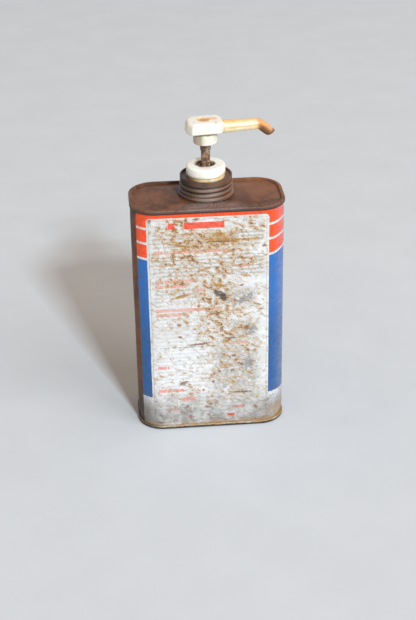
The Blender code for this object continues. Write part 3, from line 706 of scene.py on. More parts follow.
def rustFlecks(p, s, outside):
    inside = p.fall(outside, -0.5, 0.5)
    wash = p.step(p.noise(11, 5, 0.65), 0.34, 0.6, 0.1, 0.5)
    wash = p.times(wash, p.step(p.cloud(*s["clean"]), 0.2, 1, 0.15, 1), inside)
    p.lay(wash, s["wash"])
    stain = p.times(p.fall(p.cloud(*s["ochreCloud"]), 0, 1.2, 0.55), p.step(p.noise(6, 5, 0.68), 0.38, 0.62))
    p.lay(stain, s["ochre"])
    slanted = p.stretch((s["long"], 1, 1), s["slant"])
    flecks = p.noise(s["size"], 5, 0.7, place=slanted, warp=0.3)
    crowd = p.most([p.times(p.fall(p.cloud(*cloud), 0, 1.7), strength) for *cloud, strength in s["clouds"]])
    fine = p.step(p.noise(s["fineSize"], 4, 0.65, place=slanted), 0.54, 0.70, 0, 0.55)
    fine = p.times(fine, p.step(crowd, 0, 0.1, 0.25, 1), inside)
    p.lay(fine, s["fine"])
    amount = p.add(flecks, crowd, p.swing(p.noise(14, 4, 0.6), 0.24), p.swing(p.noise(s["grain"], 3), 0.16))
    amount = p.minus(amount, p.step(outside, -0.5, 0.5, 0, s["outsideLess"]))
    for low, high, share, colour in s["coats"]:
        p.lay(p.step(amount, low, high, 0, share), colour)
    return p.step(amount, 0.50, 0.74)


barSettings = {
    "bars": [(-31, -26, 173.6, 178.2), (-19, 11, 173.4, 178.6), (-18.6, -16.2, 8.5, 11), (12, 18, 8.7, 10.9)],
    "red": (240, 70, 34),
    "share": 0.92,
}


def redBars(p, s):  # plain bars at the head and foot of the panel
    bars = p.most([p.block(bar, 0.25) for bar in s["bars"]])
    p.lay(p.times(bars, s["share"]), s["red"])


# By tint: colour, raggedness, and each streak's across, up, half length, half height and tilt
streakSettings = {
    "ochre": ((178, 128, 50), 3.4, [
        (10, 163.6, 18, 2.1, 3), (28, 163.2, 14, 1, -3), (-22, 160, 10, 1.1, 10), (7, 168, 4, 2.4, 0),
        (-22, 117.5, 10, 1.5, -14), (-5, 139.4, 6, 1.4, -20), (35, 15.3, 2, 1.6, 30), (6, 126, 6, 1.3, 8),
        (27, 133, 4.5, 1.6, 12), (-25, 180, 3, 1.2, 0), (-19, 157, 3.4, 1.8, -40), (40, 4.8, 8, 1.4, -6)]),
    "brown": ((126, 90, 58), 3.4, [
        (8, 162, 12, 0.8, 1), (-10, 75.3, 10, 1.1, -6), (23, 30.2, 9, 1.1, 2), (-22, 41, 4, 1.8, -20),
        (15, 79.5, 6, 0.9, 0), (-42, 5.5, 5, 1.4, 0)]),
    "black": ((50, 46, 48), 1, [
        (4.6, 119.2, 4.2, 2.2, 60), (9.6, 116, 5.2, 2.9, 66)]),
    "grey": ((142, 140, 139), 6.5, [
        (-14, 73.2, 28, 0.35, 0), (26, 113, 8.5, 3, -28), (31, 86, 5, 3.6, -30), (28, 56, 6, 5, -30),
        (44, 21, 2, 1.6, 0), (37.5, 141, 1.1, 1.9, -20)]),
    "spot": ((142, 92, 46), 3.6, [
        (-6.7, 33.9, 1.4, 1.2, 0), (-4, 18.2, 2.6, 1.1, 10), (-20, 19.3, 1.8, 1.4, 0), (6.2, 50.2, 1.6, 1.2, 0),
        (16.3, 50.7, 2.2, 1.4, 0), (23.6, 55.8, 1.5, 1.5, 0), (17.4, 63.7, 2, 1.2, -20),
        (28.7, 68.2, 1.6, 1.3, 0), (1.1, 40.6, 1.3, 1.5, 0), (-24.5, 93, 2, 1.1, 0), (-24, 82.5, 1.8, 1.1, 0),
        (8.4, 88, 1.5, 3.4, 10), (27.5, 88.4, 2.4, 2, 30), (41, 157, 1.8, 1.5, 0), (-21.5, 128, 3, 1.2, 0),
        (24, 125, 1.8, 1.1, -20), (-45, 180, 1.8, 2.4, 0), (-10, 181, 2.8, 1.1, 0)]),
}


def singleStreaks(p, s):
    ragged = p.noise(2, 5, 0.7)
    for colour, rag, streaks in s.values():
        for across, up, halfLong, halfTall, tilt in streaks:
            c, d = math.cos(math.radians(tilt)), math.sin(math.radians(tilt))
            ds, dz = p.minus(p.along, across), p.minus(p.up, up)
            u = p.math("DIVIDE", p.add(p.times(ds, c), p.times(dz, -d)), halfLong)
            v = p.math("DIVIDE", p.add(p.times(ds, d), p.times(dz, c)), halfTall)
            far = p.add(p.squares(u, v), p.swing(ragged, rag))
            p.lay(p.times(p.fall(far, 0.2, 1.2, 0.82), p.front), colour)


dirtSettings = {
    "low": (114, 107, 101),
    "left": (106, 100, 95),
    "foot": (172, 138, 98),
    "rightFoot": (190, 158, 112),
    "chip": (84, 66, 62),
    "speck": (112, 84, 74),
    "scratch": (196, 196, 198),
    "rustDark": (82, 52, 35),
    "rustMiddle": (122, 76, 44),
    "rustPale": (152, 100, 62),
    "darkRustAndShadow": (58, 52, 49),
}


def footDirt(p, s, outside):
    grime = p.noise(8, 6, 0.7, warp=0.5)
    spread = p.step(grime, 0.3, 0.66)
    low = p.times(p.fall(p.add(p.up, p.swing(grime, -26)), 2, 40), 0.85)
    p.lay(p.times(low, p.add(p.times(spread, 0.6), 0.4)), s["low"])
    leftLow = p.times(p.fall(p.along, -60, -30, 0.9), p.fall(p.up, 16, 31))
    p.lay(leftLow, s["left"])
    foot = p.fall(p.add(p.up, p.swing(grime, -12)), 1.5, 6.5, 0.85)
    p.lay(foot, s["foot"])
    rightLow = p.times(p.step(p.along, 32, 46, 0, 0.55), p.fall(p.up, 14, 30))
    p.lay(rightLow, s["low"])
    rightFoot = p.times(p.step(p.along, 34, 56), p.fall(p.up, 3, 24, 0.85))
    p.lay(p.times(rightFoot, spread), s["rightFoot"])
    coloured = p.step(outside, -0.2, 0.6)
    chips = p.noise(1.2, 5, 0.78, place=p.stretch((2.2, 1, 1), 50))
    chips = p.times(p.step(chips, 0.52, 0.64, 0, 0.66), coloured)
    p.lay(chips, s["chip"])
    specks = p.times(p.step(p.noise(0.95, 3, 0.6), 0.60, 0.70, 0, 0.75), p.step(p.along, 30, 56, 0.5, 1))
    p.lay(p.times(specks, coloured), s["speck"])
    lines = p.noise(1.2, 3, 0.6, place=p.stretch((6, 1, 0.7), 20))
    scratches = p.times(p.step(lines, 0.68, 0.74, 0, 0.35), coloured)
    p.lay(scratches, s["scratch"])
    return grime


def bareMargin(p, s):  # rusted strip where the print stops short of the side seam
    edge = p.add(p.along, p.swing(p.noise(2.2, 3), 0.8))
    bare = p.fall(edge, printSettings["bare"] - 0.25, printSettings["bare"] + 0.25)
    printed = p.coat
    p.coat = p.mix(p.step(p.noise(13, 6, 0.68, warp=0.4), 0.30, 0.70), s["rustDark"], s["rustMiddle"])
    grain = p.noise(1.7, 5, 0.72, place=p.stretch((1, 1, 0.6)))
    p.lay(p.step(grain, 0.54, 0.68, 0, 0.6), s["rustPale"])
    # darker in the rust's grain and towards the bottom, with painted shadow along the top under the seam
    for share in (p.fall(grain, 0.30, 0.46, 0.6), p.fall(p.up, 8, 60, 0.8), p.step(p.up, 176, 185, 0, 0.75)):
        p.lay(share, s["darkRustAndShadow"])
    p.coat = p.mix(bare, printed, p.coat)
    return bare


def printedTinPaint():
    p = LabelPaint("printedTinplate", roughness=0.38)
    outside = printGround(p, printSettings)
    smallPrint(p, rowSettings)
    flecks = rustFlecks(p, rustSettings, outside)
    redBars(p, barSettings)
    singleStreaks(p, streakSettings)
    grime = footDirt(p, dirtSettings, outside)
    bare = bareMargin(p, dirtSettings)
    dull = p.times(p.math("MAXIMUM", flecks, bare), 0.3)
    p.rough(p.add(dull, p.step(grime, 0.3, 0.7, 0.30, 0.44)))
    p.bump(p.add(flecks, p.times(grime, 0.25)), 0.5, 0.9)
    return p.done()


makeTinBody(tin, printedTinPaint())
seat(makeTinEnd("tinTop", True), topPaint(), "can", ["top_panel"])
seat(makeTinEnd("tinBase", False), basePaint(), "can", ["bottom_panel"])
print("tin body, top and base made")


# Screw cap with its rolled thread

cap = {
    "foot": footOf("screw_cap"),
    "rim": topOf("screw_cap"),
    "beadRadius": radiusOf("screw_cap"),
    "sharpness": 1.7,
    "steps": 144,
    "rows": 44,
    **lengths(crest=20.2, depth=1, pitch=4, firstRib=6.7, groove=4.7, sheet=0.5, band=19.6, bandFoot=0.5,
              recess=1.9, fold=1.2, beadHeight=1.7, fade=1, hole=14.3, bandFootRound=0.25, bandRound=0.6,
              wallRound=0.45, floorRound=0.35, holeRound=0.12),
}


def capWall(s, z, angle):
    start = s["foot"] + s["beadHeight"]
    grooveZ = s["rim"] - s["groove"]
    ribbed = easeShare(z, start, start + s["fade"])
    ended = easeShare(z, grooveZ - s["fade"], grooveZ)
    turns = (z - s["rim"] + s["firstRib"]) / s["pitch"] - (angle / fullTurn + 0.25)
    wave = (1 - math.cos(fullTurn * turns)) / 2
    radius = s["crest"] - s["depth"] * wave ** s["sharpness"] * ribbed
    return radius * (1 - ended) + (s["crest"] - s["depth"]) * ended


def makeCap(s, paint):
    def ring(z, inset=0):
        points = []
        for i in range(s["steps"]):
            a = fullTurn * i / s["steps"]
            radius = capWall(s, z, a) - inset
            points.append((radius * math.cos(a), radius * math.sin(a), z))
        return points

    threadLow = s["foot"] + s["beadHeight"]
    grooveZ = s["rim"] - s["groove"]
    rows = [threadLow + (grooveZ - threadLow) * k / (s["rows"] - 1) for k in range(s["rows"])]
    inner = s["crest"] - s["sheet"]
    quarter = s["beadHeight"] / 4
    floorZ = s["rim"] - s["recess"]
    wall = s["band"] - s["fold"]
    sheet, band, rim, hole, beadRadius = s["sheet"], s["band"], s["rim"], s["hole"], s["beadRadius"]
    bandFoot = grooveZ + s["bandFoot"]
    bead = filleted([(inner, threadLow), (inner, s["foot"], quarter * 0.6),
                     (beadRadius, s["foot"], quarter * 1.6),
                     (beadRadius, threadLow - quarter * 0.4, quarter * 1.2)], 5)[1:]
    top = filleted([(s["crest"] - s["depth"], grooveZ), (band, bandFoot, s["bandFootRound"]),
                    (band, rim, s["bandRound"]), (wall, rim, s["wallRound"]),
                    (wall, floorZ, s["floorRound"]), (hole, floorZ, s["holeRound"]),
                    (hole, floorZ - sheet), (wall + sheet / 2, floorZ - sheet), (wall + sheet / 2, rim - sheet),
                    (band - sheet, rim - sheet), (band - sheet, bandFoot)], 4)[1:]
    rings = [circle(radius, z, s["steps"]) for radius, z in bead]
    rings += [ring(z) for z in rows]
    rings += [circle(radius, z, s["steps"]) for radius, z in top]
    rings += [ring(z, s["sheet"]) for z in reversed(rows)]
    seat(skin("screwCap", rings), paint, "cap", ["screw_cap"])


def capPaint():
    p = Paint("rustedCap", roughness=0.5)
    x, y, _ = p.split()
    away = p.length(x, y)
    broad = p.noise(10, 4, 0.6, warp=0.4)
    fine = p.noise(1.2, 5, 0.7)
    p.coat = p.mix(p.step(broad, 0.36, 0.62), (74, 49, 38), (112, 76, 57))
    # lighter crests: wear with a painted highlight
    wearAndHighlight = p.times(p.step(away, 19.4, 20.2), p.step(fine, 0.35, 0.6, 0.3, 0.7))
    p.lay(wearAndHighlight, (131, 98, 79))
    # painted sheen on the crests at the front middle
    facing = p.times(p.fall(p.abs(x), 3, 14, 0.5), p.fall(y, -10, -4))
    p.lay(p.times(facing, p.step(away, 19.4, 20.1, 0.1, 1)), (144, 128, 120))
    # painted light on the right side and painted shade on the left
    p.lay(p.step(x, 2, 20, 0, 0.4), (146, 96, 66))
    p.lay(p.fall(x, -18, -5, 0.74), (46, 31, 25))
    # painted shade in the grooves between the ribs
    grooveShade = p.fall(away, 19.2, 19.8, 0.9)
    outer = p.times(grooveShade, p.step(away, 18.9, 19.1))
    p.lay(outer, (27, 19, 16))
    p.lay(p.step(fine, 0.6, 0.75, 0, 0.5), (140, 100, 74))
    p.rough(p.step(fine, 0.3, 0.75, 0.33, 0.56))
    p.bump(p.add(fine, broad), 0.1, 0.5)
    return p.done()


makeCap(cap, capPaint())
print("screw cap made")


# White and yellowed plastic

def plasticPaint(name, base, dirt, roughness=0.36, spread=0, subsurface=0.3):
    p = Paint(name, roughness=roughness, Subsurface_Weight=subsurface, Subsurface_Scale=0.004)
    cloud = p.noise(6, 4, 0.6)
    fine = p.noise(0.8, 4, 0.6)
    p.coat = p.mix(p.step(cloud, 0.42 - spread, 0.72 - spread), base, dirt)
    p.rough(p.step(fine, 0.3, 0.7, roughness - 0.05, roughness + 0.12))
    p.bump(p.add(fine, cloud), 0.03, 0.4)
    return p


nut = {
    "foot": footOf("gland_nut") - 1.1 * mm,
    "top": topOf("gland_nut"),
    "radius": radiusOf("gland_nut"),
    **lengths(hole=7, roof=2.2, inner=11.9, edge=1.6, footEdge=1.1, holeEdge=0.35),
}


def nutPaint(s):
    p = plasticPaint("whiteNutPlastic", (254, 250, 243), (249, 243, 230))
    x, y, z = p.split()
    away = p.length(x, y)
    smear = p.swing(p.noise(4, 4, 0.6), 3)
    leftward = p.step(x, -9, 3, 1, -0.5)
    reach = p.add(away, smear, p.times(leftward, -1))
    p.lay(p.fall(reach, 7, 8.8, 0.8), (176, 134, 92))
    p.lay(p.fall(reach, 6.2, 7.4), (62, 44, 34))
    low = p.add(z, p.times(p.noise(4, 3), 1.4), p.step(x, 4, 13, 0, -1.5))
    footDirt = p.fall(low, s["foot"] / mm + 0.7, s["foot"] / mm + 2.1, 0.8)
    p.lay(footDirt, (232, 202, 150))
    return p.done()


def makeNut(s, paint):
    roofZ = s["top"] - s["roof"]
    profile = filleted([(s["radius"], s["foot"], s["footEdge"]), (s["radius"], s["top"], s["edge"]),
                        (s["hole"], s["top"], s["holeEdge"]), (s["hole"], roofZ), (s["inner"], roofZ),
                        (s["inner"], s["foot"])], 6)
    seat(turned("glandNut", profile), paint, "pump_unit", ["gland_nut"])


barrel = {
    "top": topOf("pump_barrel"),
    "foot": footOf("pump_barrel"),
    "flangeRadius": radiusOf("pump_barrel"),
    "flangeFoot": topOf("flange_gasket") + 0.3 * mm,
    "flangeTop": topOf("flange_gasket") + 2.3 * mm,
    "shoulderTop": footOf("gland_nut") - 1.2 * mm,
    "ledge": footOf("rod_seal") - 0.3 * mm,
    "floor": footOf("ball_cage") - 0.3 * mm,
    "seatZ": footOf("inlet_ball") + 0.23 * mm,
    "web": topOf("dip_tube") + 0.3 * mm,
    **lengths(shoulder=14.15, spigot=11.6, wall=9.4, bore=7.6, socket=8.5, chamber=3.1, seat=1.5,
              tubeSocket=3.5, boss=5.3, taper=4, edge=0.3, bossEdge=0.4, wallRound=0.8),
}


def makeBarrel(s, paint):
    outer = [(s["spigot"], s["top"]), (s["spigot"], s["shoulderTop"]),
             (s["shoulder"], s["shoulderTop"], s["bossEdge"]), (s["shoulder"], s["flangeTop"]),
             (s["flangeRadius"], s["flangeTop"], s["edge"]),
             (s["flangeRadius"], s["flangeFoot"], s["edge"]), (s["wall"], s["flangeFoot"]),
             (s["wall"], s["floor"], s["wallRound"]), (s["boss"], s["floor"] - s["taper"], s["wallRound"]),
             (s["boss"], s["foot"], s["bossEdge"])]
    inner = [(s["tubeSocket"], s["foot"]), (s["tubeSocket"], s["web"]), (s["seat"], s["web"]),
             (s["seat"], s["seatZ"]), (s["chamber"], s["seatZ"]), (s["chamber"], s["floor"]),
             (s["bore"], s["floor"]), (s["bore"], s["ledge"]), (s["socket"], s["ledge"]), (s["socket"], s["top"])]
    seat(turned("pumpBarrel", filleted(outer + inner, 4)), paint, "pump_unit", ["pump_barrel"])


def barrelPaint():
    p = plasticPaint("yellowedBarrelPlastic", (247, 226, 188), (230, 194, 142), spread=0.02)
    x, _, z = p.split()
    rise = p.step(p.add(z, p.times(p.noise(3.5, 4), 1.2)), 204, 205.6)
    p.coat = p.mix(rise, (182, 138, 88), p.coat)
    p.lay(p.fall(x, -12.5, -3, 0.75), (140, 94, 48))
    return p.done()


guide = {
    "foot": footOf("rod_guide"),
    "top": topOf("rod_guide"),
    "radius": radiusOf("rod_guide"),
    "shoulder": footOf("gland_nut") + 3.9 * mm,
    "wellFloor": footOf("rod_guide") + 7 * mm,
    "crustRings": 8,
    **lengths(collar=6.7, well=4.3, bore=3.7, lumps=0.55, lumpSize=2.6),
}


def makeGuide(s, paint):
    rings = [(s["bore"], s["foot"]), (s["radius"], s["foot"])]
    rings += [(s["radius"], s["shoulder"]), (s["collar"], s["shoulder"])]
    count = s["crustRings"]
    crust = [s["collar"] - (s["collar"] - s["well"]) * k / count for k in range(count + 1)]
    rings += [(radius, s["top"] - s["lumps"]) for radius in crust]
    rings += [(s["well"], s["wellFloor"]), (s["bore"], s["wellFloor"])]
    item = turned("rodGuide", rings, 96)
    for vertex in item.data.vertices:  # old grease lies in lumps on the bush's top
        if abs(vertex.co.z - s["top"] + s["lumps"]) < 0.01 * mm:
            lump = noise.fractal(vertex.co / s["lumpSize"], 0.6, 2, 3)
            vertex.co.z += s["lumps"] * min(max(0.5 + lump * 0.8, 0), 1)
    seat(item, paint, "pump_unit", ["rod_guide"], sharp=70)


def greasePaint():
    p = Paint("oldGreaseBrown", roughness=0.4)
    cloud = p.noise(2.4, 5, 0.65, warp=0.6)
    p.coat = p.mix(p.step(cloud, 0.38, 0.6), (34, 25, 22), (96, 64, 42))
    p.lay(p.step(cloud, 0.62, 0.72), (186, 150, 88))
    p.rough(p.step(cloud, 0.3, 0.7, 0.25, 0.6))
    p.bump(cloud, 0.25, 0.7)
    return p.done()


makeNut(nut, nutPaint(nut))
makeBarrel(barrel, barrelPaint())
makeGuide(guide, greasePaint())
print("nut, barrel and guide made")


# Rod and its stop sleeve

rod = {
    "foot": footOf("pump_rod"),
    "top": topOf("pump_rod"),
    "flangeRadius": radiusOf("pump_rod"),
    "flangeFoot": topOf("stop_sleeve") + 0.3 * mm,
    **lengths(radius=3.4, bore=1.6, flange=1.8, edge=0.3, row=1.2,
              sleeveBore=3.7, sleeveFootEdge=0.35, sleeveTopEdge=0.2),
}


def makeRod(s, paint):
    flangeTop = s["flangeFoot"] + s["flange"]
    edge = s["edge"]
    profile = filleted([(s["bore"], s["foot"]), (s["radius"], s["foot"], edge), (s["radius"], s["flangeFoot"]),
                        (s["flangeRadius"], s["flangeFoot"], edge), (s["flangeRadius"], flangeTop, edge),
                        (s["radius"], flangeTop), (s["radius"], s["top"], edge), (s["bore"], s["top"])], 4)
    fine = []
    for (r0, z0), (r1, z1) in zip(profile, profile[1:] + profile[:1]):
        count = max(1, round(abs(z1 - z0) / s["row"]))
        fine += [(r0 + (r1 - r0) * k / count, z0 + (z1 - z0) * k / count) for k in range(count)]
    seat(turned("pumpRod", fine, 64), paint, "plunger", ["pump_rod"])


def makeSleeve(s, paint):
    low, high = footOf("stop_sleeve"), topOf("stop_sleeve")
    radius, bore = radiusOf("stop_sleeve"), s["sleeveBore"]
    profile = filleted([(bore, low), (radius, low, s["sleeveFootEdge"]),
                        (radius, high, s["sleeveTopEdge"]), (bore, high)], 4)
    seat(turned("stopSleeve", profile, 64), paint, "plunger", ["stop_sleeve"])


def rodPaint(name, dark, middle, pale, low, high):
    p = Paint(name, roughness=0.4)
    x, _, z = p.split()
    smear = p.noise(2.7, 5, 0.65, place=p.stretch((1.4, 1, 1.3)), warp=0.5)
    lower = p.fall(z, low, high)
    p.coat = p.mix(p.step(smear, 0.4, 0.62), dark, middle)
    # painted shade towards the left and right sides
    p.lay(p.step(p.abs(x), 1, 3.6, 0, 0.5), dark)
    p.lay(p.times(p.step(p.add(smear, p.times(p.step(x, -3, 3), 0.14)), 0.54, 0.7), lower), pale)
    p.rough(p.step(smear, 0.3, 0.7, 0.28, 0.55))
    p.bump(smear, 0.2, 0.6)
    return p.done()


makeRod(rod, rodPaint("greasyRod", (88, 64, 52), (182, 145, 118), (226, 200, 152), 211.5, 215.5))
makeSleeve(rod, rodPaint("greasySleeve", (82, 66, 57), (152, 125, 105), (180, 152, 126), 220, 232))
print("rod and sleeve made")


# Head, its skirt nut and the spout, in the head's own turned frame

head = {
    "turn": math.radians(6),
    "foot": topOf("head_nut") + 0.3 * mm,
    "top": topOf("pump_head"),
    "pocketTop": topOf("head_seal") + 0.3 * mm,
    "spigotFoot": topOf("stop_sleeve") + 0.3 * mm,
    "leftRun": (3 * mm, 5 * mm),  # front and back, as for the next two
    "leftRound": (1.5 * mm, 3 * mm),
    "sideRound": (1.6 * mm, 3 * mm),
    "dishProfile": ((0.55, -0.62), (0.84, -0.5), (0.96, -0.3), (1, 0), (1, 2)),  # share of its radius, and mm up
    "domeProfile": ((3.4 * mm, 0.5), (5.4 * mm, 0.8)),
    "footProfile": ((0.4 * mm, 0), (0.12 * mm, 0.12 * mm), (0, 0.4 * mm)),
    "spots": ((6.2, 0.6, 3.2, (236, 190, 134), 0.75), (-9.4, -4.9, 1, (206, 180, 150), 0.7),
              (6.4, -7.8, 1.1, (190, 168, 128), 0.7)),
    **lengths(left=14.6, lean=0.9, right=12.9, halfDepth=10.8, leftFlat=10, rightFlat=12.5, rightRun=2.6,
              rightRound=3.5, edge=2.2, dome=0.15, dish=4.7, dishShift=-1.1, spigot=7, pocket=5.7,
              channel=1.7, channelRise=3.1, boss=4.9, bossStart=9.44, axisDrop=1.8, socket=3.5, socketDepth=2.7,
              overlap=1.5),
}


def inHeadFrame(item, s=head):
    item.rotation_euler = (0, 0, s["turn"])
    return item


def cylinderAlong(name, radius, start, end, steps=64):
    start, end = Vector(start), Vector(end)
    axis = (end - start).normalized()
    side = axis.orthogonal().normalized()
    up = axis.cross(side)
    rings = [[point + side * x + up * y for x, y, _ in circle(radius, 0, steps)] for point in (start, end)]
    return skin(name, rings, loop=False)


def boolean(item, other, operation):
    modifier = item.modifiers.new(other.name, "BOOLEAN")
    modifier.operation = operation
    modifier.solver = "EXACT"
    modifier.object = other
    depsgraph = bpy.context.evaluated_depsgraph_get()
    mesh = bpy.data.meshes.new_from_object(item.evaluated_get(depsgraph))
    item.modifiers.clear()
    item.data = mesh
    bpy.data.objects.remove(other, do_unlink=True)


def makeHead(s, paint):
    corners = []
    for side, run, leftRound, sideRound in zip((-1, 1), s["leftRun"], s["leftRound"], s["sideRound"]):
        left = [(-s["left"], side * s["leftFlat"] / 2, leftRound),
                (-s["left"] + run, side * s["halfDepth"], leftRound)]
        right = [(s["right"] - s["rightRun"], side * s["halfDepth"], sideRound),
                 (s["right"], side * s["rightFlat"] / 2, s["rightRound"])]
        corners += left + right if side < 0 else list(reversed(left + right))
    outline = filleted(corners, 8)

    edge = s["edge"]
    low, high = s["foot"], s["top"] - s["dome"]

    def drawnIn(inset, z):  # the left end leans in towards the top
        lean = s["lean"] * (z - low) / (high - low) / s["left"]
        narrow, shallow = 1 - inset / s["left"], 1 - inset / s["halfDepth"]
        return [(x * narrow + lean * max(-x, 0), y * shallow, z) for x, y in outline]

    rings = [drawnIn(inset, low + rise) for inset, rise in s["footProfile"]]
    for k in range(9):
        a = fullTurn / 4 * k / 8
        rings.append(drawnIn(edge * (1 - math.cos(a)), high - edge * (1 - math.sin(a))))
    for inset, rise in s["domeProfile"]:
        rings.append(drawnIn(inset, high + s["dome"] * rise))
    block = skin("pumpHead", rings, loop=False)
    axisZ = low + s["axisDrop"]
    inside = low + s["overlap"]
    channelZ = low + s["channelRise"]
    socketStart = s["right"] - s["socketDepth"]
    forms = [("spigotForm", s["spigot"], (0, 0, s["spigotFoot"]), (0, 0, inside)),
             ("bossForm", s["boss"], (s["bossStart"], 0, axisZ), (s["right"], 0, axisZ))]
    cuts = [("pocketCut", s["pocket"], (0, 0, s["spigotFoot"] - 2 * mm), (0, 0, s["pocketTop"])),
            ("riserCut", s["channel"], (0, 0, s["pocketTop"] - 1 * mm), (0, 0, channelZ)),
            ("socketCut", s["socket"], (socketStart, 0, axisZ), (s["right"] + 2 * mm, 0, axisZ)),
            ("channelCut", s["channel"], (-s["channel"], 0, channelZ), (socketStart + 1 * mm, 0, channelZ))]
    for shapes, operation in ((forms, "UNION"), (cuts, "DIFFERENCE")):
        for shape in shapes:
            boolean(block, cylinderAlong(*shape), operation)
    dishRings = [circle(s["dish"] * share, s["top"] + depth * mm, 64) for share, depth in s["dishProfile"]]
    dish = skin("dishCut", dishRings, loop=False)
    dish.location.x = s["dishShift"]
    boolean(block, dish, "DIFFERENCE")
    seat(inHeadFrame(block), paint, "head", ["pump_head"], sharp=32)


def headPaint(s):
    p = plasticPaint("whiteHeadPlastic", (246, 242, 232), (242, 235, 218))
    x, y, z = p.split()
    rag = p.swing(p.noise(2.6, 4, 0.6), 3.4)
    dishX = p.minus(x, s["dishShift"] / mm)
    away = p.add(p.length(dishX, y), rag)
    onTop = p.step(z, s["top"] / mm - 1.5, s["top"] / mm - 0.9)
    p.lay(p.times(p.fall(away, 4.2, 6, 0.75), onTop), (238, 190, 132))
    p.lay(p.times(p.fall(away, 2.8, 4.8, 0.9), onTop), (208, 144, 88))

    for cx, cy, size, colour, strength in s["spots"]:
        d = p.add(p.length(p.minus(x, cx), p.minus(y, cy)), p.times(rag, 0.5))
        p.lay(p.times(p.fall(d, size * 0.5, size * 1.3, strength), onTop), colour)
    # painted shade on the head's left end, below its top edge
    leftEndShade = p.fall(p.add(x, p.times(rag, 0.5)), -13.4, -11.6, 0.1)
    side = p.times(leftEndShade, p.fall(z, s["top"] / mm - 1.4, s["top"] / mm - 0.4))
    p.lay(side, (158, 128, 98))
    under = p.fall(p.add(z, p.times(rag, 0.15)), s["foot"] / mm + 0.1, s["foot"] / mm + 0.9, 0.85)
    p.lay(under, (196, 152, 98))
    return p.done()


skirt = {
    "foot": footOf("head_nut"),
    "top": topOf("head_nut"),
    **lengths(radius=9.04, taper=0.15, hole=4.3, bore=7.3, floor=1.6, edge=0.9, smallEdge=0.25),
}


def makeSkirt(s, paint):
    floor = s["foot"] + s["floor"]
    profile = filleted([(s["hole"], s["foot"], s["smallEdge"]), (s["radius"] - s["taper"], s["foot"], s["edge"]),
                        (s["radius"], s["top"], s["smallEdge"]), (s["bore"], s["top"]), (s["bore"], floor),
                        (s["hole"], floor)], 6)
    seat(inHeadFrame(turned("headSkirt", profile)), paint, "head", ["head_nut"])


def skirtPaint(s):
    p = plasticPaint("whiteSkirtPlastic", (240, 236, 225), (222, 212, 192), spread=0.02)
    x, _, z = p.split()
    rag = p.swing(p.noise(3, 4, 0.6), 3)
    # painted shade on the skirt's left side, mixed with dirt
    left = p.fall(p.add(x, p.times(rag, 0.8)), -4.6, -3, 0.72)
    p.lay(left, (170, 146, 118))
    # painted shadow under the head, round the skirt's top
    top = p.step(p.add(z, p.times(rag, 0.4)), s["top"] / mm - 2.2, s["top"] / mm - 0.6)
    p.lay(p.times(top, 0.85), (92, 66, 50))
    low = p.fall(p.add(z, p.times(rag, 0.3)), s["foot"] / mm + 0.2, s["foot"] / mm + 1.4, 0.5)
    p.lay(low, (214, 180, 128))
    return p.done()


spout = {
    "angle": math.radians(42),
    "cut": math.radians(19),
    "steps": 56,
    "straightSteps": 12,
    "bendSteps": 14,
    "tipSteps": 6,
    "lipSteps": 4,
    **lengths(level=1.8, start=13.2, root=4.9, waist=4.1, tip=3.6, bore=1.9, spigot=3.2, spigotLength=2.4,
              reach=41, bend=5.4, drop=11.4, lip=0.45, rootEdge=0.3, rootRise=0.25, mouthEdge=0.2,
              mouthStart=0.1, mouthDepth=0.4),
}


def makeSpout(s, paint):
    level = head["foot"] + s["level"]
    corner = Vector((s["reach"], 0, level))
    down = Vector((math.cos(s["angle"]), 0, -math.sin(s["angle"])))
    tangent = s["bend"] * math.tan(s["angle"] / 2)
    bendCentre = Vector((s["reach"] - tangent, 0, level - s["bend"]))
    straight = bendCentre.x - s["start"]
    stations = []
    for k in range(s["straightSteps"]):
        share = k / s["straightSteps"]
        radius = s["root"] + (s["waist"] - s["root"]) * share
        stations.append((Vector((s["start"] + straight * share, 0, level)), 0, radius))
    for k in range(s["bendSteps"] + 1):
        a = s["angle"] * k / s["bendSteps"]
        radius = s["waist"] + (s["tip"] - s["waist"]) * k / (s["bendSteps"] * 2)
        stations.append((bendCentre + Vector((math.sin(a), 0, math.cos(a))) * s["bend"], a, radius))
    tip = corner + down * s["drop"]
    lean = s["angle"] + s["cut"]
    waistRadius = (s["waist"] + s["tip"]) / 2
    bendEnd = stations[-1][0]
    for k in range(1, s["tipSteps"]):
        share = k / s["tipSteps"]
        radius = waistRadius + (s["tip"] - waistRadius) * share
        stations.append((bendEnd.lerp(tip, share), s["angle"] + s["cut"] * share, radius))

    def ringAt(point, tilt, radius):
        up = Vector((math.sin(tilt), 0, math.cos(tilt)))
        return [point + Vector((0, x, 0)) + up * y for x, y, _ in circle(radius, 0, s["steps"])]

    end = Vector((s["start"] - s["spigotLength"], 0, level))
    root = Vector((s["start"], 0, level))
    rings = [ringAt(end, 0, s["spigot"]), ringAt(root, 0, s["spigot"])]
    rings.append(ringAt(root, 0, s["root"] - s["rootEdge"]))
    rings.append(ringAt(root + Vector((s["rootRise"], 0, 0)), *stations[0][1:]))
    rings += [ringAt(*station) for station in stations[1:]]
    normal = Vector((math.cos(lean), 0, -math.sin(lean)))
    for k in range(1, s["lipSteps"] + 1):
        a = fullTurn / 4 * k / s["lipSteps"]
        centre = tip - normal * (s["lip"] * (1 - math.sin(a)))
        rings.append(ringAt(centre, lean, s["tip"] - s["lip"] * (1 - math.cos(a))))
    rings.append(ringAt(tip - normal * s["mouthStart"], lean, s["bore"] + s["mouthEdge"]))
    rings.append(ringAt(tip - normal * s["mouthDepth"], lean, s["bore"]))
    rings += [ringAt(point, a, s["bore"]) for point, a, r in reversed(stations)]
    rings.append(ringAt(end, 0, s["bore"]))
    seat(inHeadFrame(skin("spoutTube", rings)), paint, "head", ["spout"], sharp=50)


